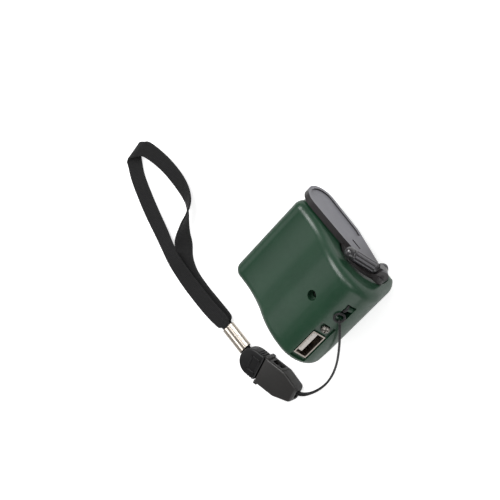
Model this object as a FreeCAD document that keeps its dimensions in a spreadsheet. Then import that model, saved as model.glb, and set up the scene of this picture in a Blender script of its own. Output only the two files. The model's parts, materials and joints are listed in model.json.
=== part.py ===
"""Hand crank phone charger, a parametric document in millimetres.

X runs along the body, from its thin end to its port end. Y runs along the crank's axle,
out of the crank side. Z rises from the flat back to the waved front. The origin is the
centre of the flat back.
"""
import math
import os
import re

import FreeCAD
import Part
import Sketcher
from FreeCAD import Placement, Rotation, Vector

os.makedirs("parts", exist_ok=True)
doc = FreeCAD.newDocument("hand_crank_charger")

# Driving sizes. Lengths are millimetres, turns are degrees, counts are plain.
SIZES = {
    # body
    "body_length": 54.0,
    "body_width": 47.0,
    "crest_height": 38.0,
    "thin_height": 28.0,
    "split_height": 17.6,
    "crest_x": 14.0,
    "wave_flat": 1.0,
    "end_radius": 4.6,
    "foot_radius": 5.0,
    "port_foot_radius": 15.0,
    "back_round": 12.0,
    "rim_fillet": 4.2,
    "end_draft": 10.0,
    "wall": 1.8,
    "lining": 1.4,
    # finger pocket beside the crank
    "pocket_x": 9.0,
    "pocket_z": 17.0,
    "pocket_radius": 13.0,
    "pocket_depth": 3.5,
    "pocket_floor": 1.3,
    # crank arm
    "axle_x": -13.5,
    "hub_x": -21.0,
    "hub_z": 17.3,
    "hub_radius": 7.9,
    "elbow_x": -4.5,
    "elbow_z": 17.6,
    "elbow_radius": 7.4,
    "arm_gap": 0.4,
    "arm_thick": 2.8,
    "tip_x": 18.8,
    "tip_z": 20.4,
    "tip_radius": 3.4,
    "panel_rim": 1.5,
    "panel_depth": 0.6,
    "panel_end_x": -0.5,
    "flange_thick": 1.2,
    "lobe_x": 8.5,
    "lobe_z": 17.0,
    "lobe_radius": 12.0,
    "slit_x": 0.3,
    "slit_z": 20.0,
    "slit_length": 5.0,
    "slit_width": 0.8,
    "spigot_diameter": 6.0,
    "spigot_flat": 2.2,
    "bush_radius": 4.5,
    "bush_flange": 1.6,
    "bush_flange_thick": 1.4,
    "washer_thick": 0.6,
    "lobe_cut_rise": 1.5,
    # folding handle
    "hinge_x": 18.8,
    "hinge_z": 20.0,
    "hinge_rise": 0.9,
    "handle_slope": 37.0,
    "handle_dip": 1.5,
    "knuckle_radius": 2.3,
    "knuckle_width": 3.4,
    "lug_thick": 1.2,
    "lug_rim": 0.2,
    "pin_diameter": 1.6,
    "spindle_diameter": 2.2,
    "grip_diameter": 4.8,
    "grip_start": 3.4,
    "grip_length": 11.8,
    "cap_length": 3.4,
    "flute_radius": 0.5,
    "flute_count": 12,
    "flute_margin": 1.2,
    "cap_grip": 1.6,
    # clearances
    "running_gap": 0.05,
    "side_gap": 0.15,
    "free_gap": 0.3,
    "trough_gap": 0.4,
    # gear train
    "gear_module": 0.5,
    "crank_teeth": 32,
    "wheel_teeth": 36,
    "pinion_teeth": 12,
    "addendum": 0.35,
    "dedendum": 0.475,
    "backlash": 0.1,
    "centre_slack": 0.05,
    "first_bearing": -24.0,
    "second_bearing": 7.0,
    "rotor_bearing": 163.5,
    "crank_gear_thick": 3.0,
    "wheel_thick": 2.4,
    "axle_diameter": 2.0,
    "plate_y": 3.2,
    "plate_thick": 1.5,
    "stage_gap": 0.9,
    "wheel_extra_gap": 0.6,
    "collar_wall": 0.4,
    "axle_seat": 2.0,
    "axle_boss_wall": 1.2,
    "rib_high": 3.4,
    # generator
    "can_diameter": 24.0,
    "can_wall": 0.8,
    "can_length": 18.0,
    "endcap_thick": 2.6,
    "can_front": 1.2,
    "nose_radius": 3.5,
    "rotor_diameter": 17.4,
    "magnet_thick": 2.0,
    "motor_shaft": 2.0,
    "motor_screw_span": 8.0,
    "magnet_gap": 6.0,
    "rotor_slot_radius": 1.6,
    "commutator_radius": 2.6,
    "saddle_half": 9.0,
    "saddle_thick": 2.0,
    "saddle_high": 4.0,
    "terminal_x": 3.4,
    "terminal_rise": 3.0,
    "terminal_wide": 2.0,
    "terminal_long": 1.6,
    "terminal_thick": 0.6,
    # port and circuit board
    "port_x": 0.0,
    "port_y": -12.1,
    "recess_width": 7.2,
    "recess_low_y": -20.8,
    "recess_high_y": 1.0,
    "recess_depth": 1.7,
    "port_tilt": 40.0,
    "usb_lip": 0.3,
    "usb_long": 13.1,
    "usb_short": 5.7,
    "usb_sheet": 0.35,
    "usb_proud": 0.8,
    "tongue_long": 11.1,
    "tongue_thick": 1.9,
    "tongue_offset": 0.75,
    "tongue_drop": 1.4,
    "board_low_x": -9.2,
    "board_high_x": 8.4,
    "led_tab_x": -4.6,
    "led_tab_y": 8.0,
    "board_low_y": -20.6,
    "board_high_y": 1.6,
    "board_top_z": 0.0,
    "board_thick": 1.6,
    "board_post_radius": 2.0,
    "board_post_a_x": -6.2,
    "board_post_a_y": -17.8,
    "board_post_b_x": 6.0,
    "board_post_b_y": -17.8,
    "contact_pitch": 2.3,
    "contact_wide": 1.0,
    "contact_thick": 0.25,
    "capacitor_radius": 3.15,
    "capacitor_x": 5.6,
    "capacitor_low_y": -10.0,
    "capacitor_length": 11.2,
    "inductor_radius": 3.2,
    "inductor_high": 4.8,
    "inductor_x": 2.0,
    "inductor_y": -14.2,
    "chip_x": -8.4,
    "chip_y": -6.4,
    "chip_wide": 4.0,
    "chip_long": 4.6,
    "chip_high": 1.2,
    "diode_radius": 0.9,
    "diode_length": 4.2,
    "diode_low_y": -14.0,
    "diode_x": -7.2,
    "diode_pitch": 2.8,
    # light
    "led_x": 8.7,
    "led_y": 5.3,
    "led_hole": 4.4,
    "led_diameter": 3.0,
    "led_sunk": 3.0,
    "led_length": 3.8,
    "lead_diameter": 0.5,
    "lead_pitch": 2.0,
    "led_rim": 0.4,
    # fasteners
    "screw_diameter": 2.0,
    "screw_head": 4.0,
    "screw_head_high": 1.5,
    "screw_bore_gap": 0.2,
    "boss_radius": 3.2,
    "board_screw_radius": 0.9,
    "motor_screw_radius": 0.9,
    "port_boss_radius": 2.2,
    "nut_width": 4.0,
    "nut_thick": 1.6,
    "board_screw_head": 3.6,
    "board_screw_head_high": 1.2,
    "board_screw_length": 5.5,
    "washer_radius": 3.0,
    "post_a_x": -21.2,
    "post_a_y": -14.5,
    "post_b_x": -21.2,
    "post_b_y": 9.6,
    "post_c_x": 17.8,
    "post_c_y": 13.2,
    "screw_seat_z": 6.0,
    "screw_length": 16.0,
    "port_screw_x": 0.2,
    "port_screw_y": -1.8,
    # lanyard eye
    "eye_x": 1.3,
    "eye_low_y": 7.0,
    "eye_high_y": 14.6,
    "eye_width": 4.4,
    "eye_depth": 5.0,
    "bar_diameter": 2.6,
    "bar_y": 12.0,
    "bar_sunk": 0.3,
    # lanyard
    "cord_diameter": 1.0,
    "wire_diameter": 1.2,
    "strap_thick": 0.9,
    "ferrule_x": -17.0,
    "ferrule_y": -58.4,
    "ferrule_z": 3.1,
    "ferrule_length": 12.6,
    "ferrule_width": 7.0,
    "ferrule_high": 4.4,
    "ferrule_wall": 0.5,
    "ferrule_groove": 0.6,
    "buckle_x": 7.6,
    "buckle_y": -57.0,
    "buckle_turn": 15.5,
    "buckle_z": 0.2,
    "buckle_high": 7.0,
    "buckle_wall": 1.3,
    "cord_room": 1.0,
    "socket_length": 20.0,
    "socket_width": 13.6,
    "socket_straight": 11.0,
    "socket_tail": 7.8,
    "ear_width": 15.2,
    "ear_length": 2.0,
    "plug_radius": 6.4,
    "plug_length": 11.4,
    "prong_length": 8.6,
    "prong_thick": 1.2,
    "prong_y": 3.9,
    "prong_sunk": 0.6,
    "barb_radius": 1.2,
    "mouth_half": 3.8,
    "mouth_low": 1.2,
    "mouth_depth": 7.0,
}

# Sizes that follow from the driving ones.
DERIVED = {
    "half_length": "body_length / 2",
    "wave_start_x": "-half_length + end_radius + wave_flat",
    "led_top_z": "crest_height - led_sunk",
    "face_y": "body_width / 2",
    "inner_y": "face_y - wall",
    "axle_z": "split_height",
    "arm_in_y": "face_y + arm_gap",
    "arm_out_y": "arm_in_y + arm_thick",
    "pocket_floor_y": "face_y - pocket_depth",
    "pocket_back_y": "pocket_floor_y - pocket_floor",
    # handle
    "hinge_y": "arm_out_y + hinge_rise",
    "knuckle_half": "knuckle_width / 2",
    "grip_end": "grip_start + grip_length",
    "cap_start": "grip_end + side_gap",
    "handle_end": "cap_start + cap_length",
    # gear train
    "crank_pitch": "gear_module * crank_teeth / 2",
    "wheel_pitch": "gear_module * wheel_teeth / 2",
    "pinion_pitch": "gear_module * pinion_teeth / 2",
    "first_x": "axle_x + (crank_pitch + pinion_pitch + centre_slack) * cos(first_bearing)",
    "first_z": "axle_z + (crank_pitch + pinion_pitch + centre_slack) * sin(first_bearing)",
    "wheel_span": "wheel_pitch + pinion_pitch + centre_slack",
    "second_x": "first_x + wheel_span * cos(second_bearing)",
    "second_z": "first_z + wheel_span * sin(second_bearing)",
    "rotor_x": "second_x + wheel_span * cos(rotor_bearing)",
    "rotor_z": "second_z + wheel_span * sin(rotor_bearing)",
    "plate_back_y": "plate_y + plate_thick",
    "second_wheel_y": "plate_back_y + stage_gap",
    "first_wheel_y": "second_wheel_y + wheel_thick + stage_gap + wheel_extra_gap",
    "crank_gear_y": "first_wheel_y + wheel_thick + screw_head_high + 2 * washer_thick",
    "crank_gear_end": "crank_gear_y + crank_gear_thick",
    "first_axle_end": "crank_gear_end + free_gap + axle_seat + 0.3",
    "second_axle_end": "first_wheel_y + wheel_thick + free_gap + axle_seat + 0.7",
    "plate_low_x": "-half_length + wall + 1.9",
    "plate_high_x": "second_x + wheel_pitch + 0.9",
    "plate_low_z": "wall + 0.6",
    "plate_top_z": "thin_height - wall - 0.8",
    # board and port, in the port's own frame: z out of the rounded end, x down it
    "end_radius_out": "half_length - crest_x",
    "end_centre_z": "crest_height - end_radius_out",
    "recess_floor_z": "end_radius_out - recess_depth",
    "board_under_z": "board_top_z - board_thick",
    "usb_mouth_z": "recess_floor_z + usb_proud",
    "recess_low_x": "port_x - recess_width / 2",
    "recess_high_x": "port_x + recess_width / 2",
    "screw_radius": "screw_diameter / 2",
    "screw_bore": "screw_radius + screw_bore_gap",
    "eye_low_x": "eye_x - eye_width / 2",
    "eye_high_x": "eye_x + eye_width / 2",
    "bar_ring": "end_radius_out - bar_diameter / 2 - bar_sunk",
    # generator
    "can_radius": "can_diameter / 2",
    "can_back_y": "plate_y - can_length",
    "endcap_back_y": "can_back_y - endcap_thick",
}

sheet = doc.addObject("Spreadsheet::Sheet", "Sizes")
for row, (alias, size) in enumerate(SIZES.items(), start=1):
    sheet.set("A%d" % row, alias)
    sheet.set("B%d" % row, str(size))
    sheet.setAlias("B%d" % row, alias)
doc.recompute()

TO_AXIS = {
    "x": Rotation(Vector(0, 1, 0), 90),
    "y": Rotation(Vector(1, 0, 0), -90),
    "z": Rotation(),
}
pieces = []


def spelled(formula):
    """Write a formula out in the sheet's own cells."""

    def word(match):
        name = match.group(0)
        if name in DERIVED:
            return "(%s)" % spelled(DERIVED[name])
        if name in SIZES:
            return "Sizes.%s" % name
        return name

    return re.sub(r"[A-Za-z_]\w*", word, str(formula))


def value(formula):
    """The number that a formula comes to."""
    return float(sheet.evalExpression(spelled(formula)))


def bind(item, prop, formula):
    item.setExpression(prop, spelled(formula))


def put(item, x, y, z):
    """Tie an object's position to three formulas."""
    bind(item, "Placement.Base.x", x)
    bind(item, "Placement.Base.y", y)
    bind(item, "Placement.Base.z", z)
    return item


def block(name, x, y, z):
    """A box, from a (low, high) pair of formulas along each axis."""
    item = doc.addObject("Part::Box", name)
    for prop, (low, high) in zip(("Length", "Width", "Height"), (x, y, z)):
        bind(item, prop, "(%s) - (%s)" % (high, low))
    return put(item, x[0], y[0], z[0])


def rod(name, axis, radius, span, first, second):
    """A cylinder along an axis. first and second are its other two coordinates."""
    item = doc.addObject("Part::Cylinder", name)
    item.Placement = Placement(Vector(), TO_AXIS[axis])
    bind(item, "Radius", radius)
    bind(item, "Height", "(%s) - (%s)" % (span[1], span[0]))
    if axis == "x":
        return put(item, span[0], first, second)
    if axis == "y":
        return put(item, first, span[0], second)
    return put(item, first, second, span[0])


def taper(name, axis, low_radius, high_radius, span, first, second):
    """A cone along an axis, placed as a rod is."""
    item = doc.addObject("Part::Cone", name)
    item.Placement = Placement(Vector(), TO_AXIS[axis])
    bind(item, "Radius1", low_radius)
    bind(item, "Radius2", high_radius)
    bind(item, "Height", "(%s) - (%s)" % (span[1], span[0]))
    if axis == "x":
        return put(item, span[0], first, second)
    if axis == "y":
        return put(item, first, span[0], second)
    return put(item, first, second, span[0])


def join(name, items):
    item = doc.addObject("Part::MultiFuse", name)
    item.Shapes = items
    return item


def cut(name, base, tools):
    """Take every tool away from the base."""
    item = doc.addObject("Part::Cut", name)
    item.Base = base
    item.Tool = tools[0] if len(tools) == 1 else join(name + "_tools", tools)
    return item


def common(name, first, second):
    item = doc.addObject("Part::Common", name)
    item.Base = first
    item.Tool = second
    return item


def bundle(name, items):
    """Separate shapes under one name, so that they are placed as one."""
    item = doc.addObject("Part::Compound", name)
    item.Links = items
    return item


def piece(label, item):
    """Name a finished sub-part and list it for export."""
    item.Label = label
    pieces.append(item)
    return item


def plane(body, role):
    for feature in body.Origin.OriginFeatures:
        if feature.Role == role:
            return feature


def new_sketch(body, name, role):
    """A sketch on one of its own body's origin planes."""
    sketch = body.newObject("Sketcher::SketchObject", name)
    sketch.AttachmentSupport = [(plane(body, role), "")]
    sketch.MapMode = "FlatFace"
    return sketch


def measure(sketch, kind, items, formula):
    """Add a sketch dimension and tie it to a formula."""
    number = value(formula)
    index = sketch.addConstraint(Sketcher.Constraint(kind, *items, number))
    sketch.setExpression("Constraints[%d]" % index, spelled(formula))


def measure_from_origin(sketch, geometry, point, x, y):
    """Dimension a point from the sketch's origin, whichever side it lies on."""
    for kind, formula in (("DistanceX", x), ("DistanceY", y)):
        number = value(formula)
        if abs(number) < 1e-9:
            other = "PointOnObject"
            axis = -2 if kind == "DistanceX" else -1
            sketch.addConstraint(Sketcher.Constraint(other, geometry, point, axis))
        elif number > 0:
            measure(sketch, kind, (-1, 1, geometry, point), formula)
        else:
            measure(sketch, kind, (geometry, point, -1, 1), "-(%s)" % formula)


def polygon(sketch, corners):
    """A closed outline through corners, each an (x, y) pair of formulas."""
    points = [Vector(value(x), value(y), 0) for x, y in corners]
    count = len(points)
    for index in range(count):
        sketch.addGeometry(Part.LineSegment(points[index], points[(index + 1) % count]))
    for index in range(count):
        sketch.addConstraint(
            Sketcher.Constraint("Coincident", index, 2, (index + 1) % count, 1))
    for index, (x, y) in enumerate(corners):
        measure_from_origin(sketch, index, 1, x, y)


def pad(body, sketch, name, length, midplane=False):
    feature = body.newObject("PartDesign::Pad", name)
    feature.Profile = sketch
    bind(feature, "Length", length)
    if midplane:
        feature.Midplane = True
    body.Tip = feature
    return feature


def arc(centre, radius, start, end):
    """A sketch arc between two angles in degrees, anticlockwise."""
    circle = Part.Circle(Vector(*centre, 0), Vector(0, 0, 1), radius)
    return Part.ArcOfCircle(circle, math.radians(start), math.radians(end))


def wave_form(name, inset, fillet):
    """The waved body, as deep as the body is wide, drawn in by an inset all round."""
    body = doc.addObject("PartDesign::Body", name)
    sketch = new_sketch(body, name + "_profile", "XZ_Plane")
    left = "-half_length + (%s)" % inset
    low = inset
    thin = "thin_height - (%s)" % inset
    crest = "crest_height - (%s)" % inset
    end = "end_radius - (%s)" % inset
    foot = "foot_radius - (%s)" % inset
    port_foot = "port_foot_radius - (%s)" % inset
    round_end = "half_length - crest_x - (%s)" % inset
    run = value("crest_x - wave_start_x")
    rise = value("crest_height - thin_height")
    bend = (run ** 2 + rise ** 2) / (4 * rise)
    lean = math.degrees(math.asin(run / 2 / bend))
    x0, z0 = value(left), value(low)
    z1, z2 = value(thin), value(crest)
    e, t, f, r = value(end), value(foot), value(port_foot), value(round_end)
    xs, xc, draft = value("wave_start_x"), value("crest_x"), value("end_draft")
    flare, drop = math.cos(math.radians(draft)), math.sin(math.radians(draft))
    foot_x = xc + (r - f - (z2 - r - z0 - f) * drop) / flare
    line = Part.LineSegment
    sketch.addGeometry([
        line(Vector(x0 + t, z0, 0), Vector(foot_x, z0, 0)),
        arc((foot_x, z0 + f), f, 270, 360 - draft),
        line(Vector(foot_x + f * flare, z0 + f - f * drop, 0),
             Vector(xc + r * flare, z2 - r - r * drop, 0)),
        arc((xc, z2 - r), r, 360 - draft, 450),
        arc((xc, z2 - bend), bend, 90, 90 + lean),
        arc((xs, z1 + bend), bend, 270, 270 + lean),
        line(Vector(xs, z1, 0), Vector(x0 + e, z1, 0)),
        arc((x0 + e, z1 - e), e, 90, 180),
        line(Vector(x0, z1 - e, 0), Vector(x0, z0 + t, 0)),
        arc((x0 + t, z0 + t), t, 180, 270),
    ])
    for ends in ((0, 2, 1, 1), (1, 2, 2, 1), (2, 2, 3, 1), (3, 2, 4, 1), (4, 2, 5, 2),
                 (5, 1, 6, 1), (6, 2, 7, 1), (7, 2, 8, 1), (8, 2, 9, 1), (9, 2, 0, 1)):
        sketch.addConstraint(Sketcher.Constraint("Tangent", *ends))
    for index in (0, 6):
        sketch.addConstraint(Sketcher.Constraint("Horizontal", index))
    sketch.addConstraint(Sketcher.Constraint("Vertical", 8))
    lean_index = sketch.addConstraint(Sketcher.Constraint("Angle", 2, math.radians(90 - draft)))
    sketch.setExpression("Constraints[%d]" % lean_index, "(90 - Sizes.end_draft) * 1 deg")
    sketch.addConstraint(Sketcher.Constraint("Equal", 4, 5))
    sketch.addConstraint(Sketcher.Constraint("Vertical", 3, 3, 4, 3))
    measure(sketch, "Radius", (1,), port_foot)
    measure(sketch, "Radius", (9,), foot)
    measure(sketch, "Radius", (7,), end)
    measure(sketch, "Radius", (3,), round_end)
    measure(sketch, "DistanceX", (8, 1, -1, 1), "-(%s)" % left)
    measure(sketch, "DistanceY", (-1, 1, 6, 1), thin)
    measure(sketch, "DistanceX", (-1, 1, 3, 3), "crest_x")
    measure(sketch, "DistanceY", (-1, 1, 3, 2), crest)
    measure(sketch, "DistanceX", (5, 3, -1, 1), "-wave_start_x")
    if z0 > 0:
        measure(sketch, "DistanceY", (-1, 1, 0, 1), low)
    else:
        sketch.addConstraint(Sketcher.Constraint("PointOnObject", 0, 1, -1))
    block_pad = pad(body, sketch, name + "_pad", "body_width - 2 * (%s)" % inset, True)
    doc.recompute()
    deep = value("face_y - (%s)" % inset)
    rims = []
    for number, edge in enumerate(block_pad.Shape.Edges, start=1):
        if all(abs(abs(vertex.Y) - deep) < 1e-6 for vertex in edge.Vertexes):
            if abs(edge.CenterOfMass.y) > deep - 1e-6:
                rims.append("Edge%d" % number)
    rounding = body.newObject("PartDesign::Fillet", name + "_rims")
    rounding.Base = (block_pad, rims)
    bind(rounding, "Radius", fillet)
    body.Tip = rounding
    return body


def body_form(name, inset, fillet):
    """The waved body with its sides rounded toward the back, drawn in by an inset."""
    along = ("-half_length - 1", "half_length + 1")
    side = "face_y - (%s)" % inset
    bend = "face_y - back_round"
    radius = "back_round - (%s)" % inset
    sides = join(name + "_sides", [
        block(name + "_upper", along, ("-(%s)" % side, side), ("back_round", "crest_height + 1")),
        block(name + "_middle", along, ("-(%s)" % bend, bend), (inset, "back_round + 1")),
        rod(name + "_left", "x", radius, along, bend, "back_round"),
        rod(name + "_right", "x", radius, along, "-(%s)" % bend, "back_round")])
    return common(name, wave_form(name + "_wave", inset, fillet), sides)


def toothed(name, teeth, low_y, high_y, x, z, phase):
    """A gear's toothed disc about a shaft along Y. phase turns a tooth from +X to +Z."""
    body = doc.addObject("PartDesign::Body", name)
    disc = new_sketch(body, name + "_disc", "XY_Plane")
    disc.addGeometry(Part.Circle(Vector(), Vector(0, 0, 1), 1.0))
    disc.addConstraint(Sketcher.Constraint("Coincident", 0, 3, -1, 1))
    pitch = "gear_module * %s / 2" % teeth
    measure(disc, "Radius", (0,), "%s - dedendum" % pitch)
    thick = "(%s) - (%s)" % (high_y, low_y)
    pad(body, disc, name + "_core", thick)
    tooth = new_sketch(body, name + "_tooth", "XY_Plane")
    half = "(pi * gear_module / 4 - backlash / 2)"
    sunk = "%s - dedendum - 0.15" % pitch
    root = "%s + dedendum * tan(20)" % half
    tip = "%s - addendum * tan(20)" % half
    crown = "%s + addendum" % pitch
    polygon(tooth, [(sunk, "-(%s)" % root), (crown, "-(%s)" % tip), (crown, tip), (sunk, root)])
    one = pad(body, tooth, name + "_one", thick)
    ring = body.newObject("PartDesign::PolarPattern", name + "_ring")
    ring.Originals = [one]
    ring.Axis = (plane(body, "Z_Axis"), [""])
    ring.Angle = 360
    bind(ring, "Occurrences", teeth)
    body.Tip = ring
    spin = Rotation(Vector(0, -1, 0), value(phase))
    body.Placement = Placement(Vector(), spin * TO_AXIS["y"])
    return put(body, x, low_y, z)


def tube_path(points, ratio=0.45):
    """Straight runs joined by tangent arcs, as one wire, and the tightest arc's radius."""
    corners = [Vector(*point) for point in points]
    edges = []
    start = corners[0]
    tightest = None
    for index in range(1, len(corners) - 1):
        before, here, after = corners[index - 1:index + 2]
        back = before - here
        ahead = after - here
        reach = ratio * min(back.Length, ahead.Length)
        back.normalize()
        ahead.normalize()
        turn = math.pi - back.getAngle(ahead)
        radius = reach / math.tan(turn / 2)
        tightest = radius if tightest is None else min(tightest, radius)
        enter = here + back * reach
        leave = here + ahead * reach
        middle = back + ahead
        middle.normalize()
        top = here + middle * (radius / math.cos(turn / 2) - radius)
        edges.append(Part.LineSegment(start, enter).toShape())
        edges.append(Part.Arc(enter, top, leave).toShape())
        start = leave
    edges.append(Part.LineSegment(start, corners[-1]).toShape())
    return Part.Wire(edges), tightest


def cord(name, points, thickness):
    """A round cord along a path, with a check of its volume."""
    diameter = value(thickness)
    wire, tightest = tube_path(points)
    first = wire.Edges[0]
    start = first.valueAt(first.FirstParameter)
    along = first.tangentAt(first.FirstParameter)
    ring = Part.Wire([Part.Circle(start, along, diameter / 2).toShape()])
    tube = wire.makePipeShell([ring], True, False)
    expected = math.pi * diameter ** 2 / 4 * wire.Length
    item = doc.addObject("Part::Feature", name)
    item.Shape = tube
    print("%s: tightest bend %.1f mm, volume %.3f of its length's"
          % (name, tightest, tube.Volume / expected))
    return item


# --- body shells -------------------------------------------------------------
form = body_form("outer_form", "0", "rim_fillet")
cavity = body_form("cavity", "wall", "rim_fillet - wall")
plate_room = body_form("plate_room", "wall + running_gap", "rim_fillet - wall")
hollow = cut("hollow_form", form, [cavity])

bump = common("pocket_bump", form, rod(
    "pocket_backing", "y", "pocket_radius + pocket_floor",
    ("pocket_back_y", "face_y"), "pocket_x", "pocket_z"))
blank = join("shell_blank", [hollow, bump])
ALL_X = ("-half_length - 1", "half_length + 1")
ALL_Y = ("-face_y - 1", "face_y + 1")
upper = block("upper_space", ALL_X, ALL_Y, ("split_height", "crest_height + 1"))
lower = block("lower_space", ALL_X, ALL_Y, ("-1", "split_height"))
CEILING = "crest_height + 1"
POSTS = (("post_a_x", "post_a_y"), ("post_b_x", "post_b_y"), ("post_c_x", "post_c_y"))
RIB_X = (("plate_low_x + 1", "plate_low_x + 4"), ("plate_high_x - 2.8", "plate_high_x"))
PORT_TURN = Rotation(Vector(0, 1, 0), value("port_tilt"))
OUT = "end_radius_out + 6"


def at_port(item):
    """Carry a shape drawn about the rounded end's axis, port side up, to its place."""
    item.Placement = Placement(Vector(), PORT_TURN)
    return put(item, "crest_x", "0", "end_centre_z")


def plate_ribs(tag, z):
    """Pairs of ribs that hold the gear plate's edge between them."""
    ribs = []
    for number, x in enumerate(RIB_X):
        for side, y in (("a", ("plate_y - 1.3", "plate_y - running_gap")),
                        ("b", ("plate_back_y + running_gap", "plate_back_y + 0.8"))):
            ribs.append(block("%s_rib_%d%s" % (tag, number, side), x, y, z))
    return ribs


# front shell: what is added inside it
eye_lining = cut("eye_lining", block(
    "eye_block", ("eye_low_x - lining", "eye_high_x + lining"),
    ("eye_low_y - lining", "eye_high_y + lining"), ("0", OUT)), [rod(
        "eye_lining_round", "y", "end_radius_out - eye_depth - lining",
        ("eye_low_y - 2 * lining", "eye_high_y + 2 * lining"), "0", "0")])
port_lining = at_port(join("port_lining", [
    eye_lining,
    block("recess_lining", ("recess_low_x - lining", "recess_high_x + lining"),
          ("recess_low_y - lining", "recess_high_y + lining"), ("recess_floor_z - lining", OUT)),
    rod("port_column", "z", "port_boss_radius", ("board_top_z", "recess_floor_z"),
        "port_screw_x", "port_screw_y"),
    rod("board_post_a", "z", "board_post_radius", ("board_top_z", OUT),
        "board_post_a_x", "board_post_a_y"),
    rod("board_post_b", "z", "board_post_radius", ("board_top_z", OUT),
        "board_post_b_x", "board_post_b_y")]))
front_parts = [
    port_lining,
    rod("led_tube", "z", "led_hole / 2 + lining", ("led_top_z - 2", CEILING), "led_x", "led_y"),
] + plate_ribs("front", ("plate_top_z - 2", CEILING))
for number, (x, y) in enumerate(POSTS):
    front_parts.append(rod("front_post_%d" % number, "z", "boss_radius",
                           ("split_height", CEILING), x, y))
front_inside = common("front_inside", join("front_parts", front_parts), form)
front_solid = join("front_solid", [common("front_blank", blank, upper), front_inside])

# front shell: what is taken away
eye_cut = cut("eye_cut", block(
    "eye_slot", ("eye_low_x", "eye_high_x"), ("eye_low_y", "eye_high_y"), ("0", OUT)), [rod(
        "eye_floor_round", "y", "end_radius_out - eye_depth",
        ("eye_low_y - 1", "eye_high_y + 1"), "0", "0")])
port_holes = at_port(join("port_holes", [
    eye_cut,
    block("port_recess", ("recess_low_x", "recess_high_x"),
          ("recess_low_y", "recess_high_y"), ("recess_floor_z", OUT)),
    block("port_slot", ("port_x - usb_short / 2 - side_gap", "port_x + usb_short / 2 + side_gap"),
          ("port_y - usb_long / 2 - side_gap", "port_y + usb_long / 2 + side_gap"),
          ("board_top_z + 1", "recess_floor_z + 1")),
    rod("port_screw_hole", "z", "screw_bore", ("board_top_z - 1", "recess_floor_z + 1"),
        "port_screw_x", "port_screw_y"),
    rod("board_pilot_a", "z", "board_screw_radius", ("board_top_z - 1", "board_top_z + 5"),
        "board_post_a_x", "board_post_a_y"),
    rod("board_pilot_b", "z", "board_screw_radius", ("board_top_z - 1", "board_top_z + 5"),
        "board_post_b_x", "board_post_b_y")]))
front_holes = [
    rod("finger_pocket", "y", "pocket_radius", ("pocket_floor_y", "face_y + 1"),
        "pocket_x", "pocket_z"),
    rod("bush_hole", "y", "bush_radius", ("inner_y - 1", "face_y + 1"), "axle_x", "axle_z"),
    port_holes,
    rod("led_bore", "z", "led_diameter / 2 + running_gap", ("led_top_z - 5", CEILING),
        "led_x", "led_y"),
    rod("led_mouth", "z", "led_hole / 2", ("led_top_z - 0.8", CEILING), "led_x", "led_y"),
]
for number, (x, y) in enumerate(POSTS):
    front_holes.append(rod("front_pilot_%d" % number, "z", "screw_radius",
                           ("split_height - 1", "screw_seat_z + screw_length + 0.5"), x, y))
front_open = cut("front_open", front_solid, front_holes)

bar = doc.addObject("Part::Torus", "eye_bar_ring")
bar.Placement = Placement(Vector(), TO_AXIS["y"])
bind(bar, "Radius1", "bar_ring")
bind(bar, "Radius2", "bar_diameter / 2")
put(bar, "0", "bar_y", "0")
eye_bar = at_port(common("eye_bar", bar, block(
    "eye_bar_space", ("eye_low_x - 0.6", "eye_high_x + 0.6"), ("eye_low_y", "eye_high_y"),
    ("0", OUT))))
front_shell = piece("front_shell", join("front_shell", [front_open, eye_bar]))

# back shell
back_parts = [
    rod("first_axle_boss", "y", "axle_diameter / 2 + axle_boss_wall",
        ("crank_gear_end + 0.5", "face_y - wall / 2"), "first_x", "first_z"),
    rod("second_axle_boss", "y", "axle_diameter / 2 + axle_boss_wall",
        ("first_wheel_y + wheel_thick + 0.5", "pocket_floor_y - free_gap"),
        "second_x", "second_z"),
] + plate_ribs("back", ("wall / 2", "plate_low_z + rib_high"))
for number, (x, y) in enumerate(POSTS):
    back_parts.append(rod("back_post_%d" % number, "z", "boss_radius",
                          ("wall / 2", "split_height"), x, y))
saddles = []
for number, y in enumerate(("can_back_y + 3", "plate_y - 6")):
    saddles.append(block("saddle_%d" % number, ("rotor_x - saddle_half", "rotor_x + saddle_half"),
                         (y, y + " + saddle_thick"),
                         ("wall / 2", "rotor_z - can_radius + saddle_high")))
back_parts.append(cut("saddles", join("saddle_blocks", saddles), [rod(
    "saddle_round", "y", "can_radius + running_gap", ("can_back_y", "plate_y"),
    "rotor_x", "rotor_z")]))
back_inside = common("back_inside", join("back_parts", back_parts), form)
back_solid = join("back_solid", [common("back_blank", blank, lower), back_inside])
back_holes = [
    rod("first_axle_hole", "y", "axle_diameter / 2", ("plate_y", "first_axle_end"),
        "first_x", "first_z"),
    rod("second_axle_hole", "y", "axle_diameter / 2", ("plate_y", "second_axle_end"),
        "second_x", "second_z"),
    rod("pocket_lower", "y", "pocket_radius", ("pocket_floor_y", "face_y + 1"),
        "pocket_x", "pocket_z"),
    rod("bush_hole_lower", "y", "bush_radius", ("inner_y - 1", "face_y + 1"),
        "axle_x", "axle_z"),
]
for number, (x, y) in enumerate(POSTS):
    back_holes.append(rod("counterbore_%d" % number, "z", "screw_head / 2 + screw_bore_gap",
                          ("-1", "screw_seat_z"), x, y))
    back_holes.append(rod("back_bore_%d" % number, "z", "screw_bore",
                          ("screw_seat_z - 1", "split_height + 1"), x, y))
back_shell = piece("back_shell", cut("back_shell", back_solid, back_holes))


# --- fasteners ---------------------------------------------------------------
def screw(name, axis, seat, head_to, tip, head_radius, radius, first, second):
    """A headed screw: its head from seat to head_to, its shank from seat to tip."""
    low, high = sorted((seat, head_to), key=value)
    head = rod(name + "_head", axis, head_radius, (low, high), first, second)
    low, high = sorted((seat, tip), key=value)
    return join(name, [head, rod(name + "_shank", axis, radius, (low, high), first, second)])


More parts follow.
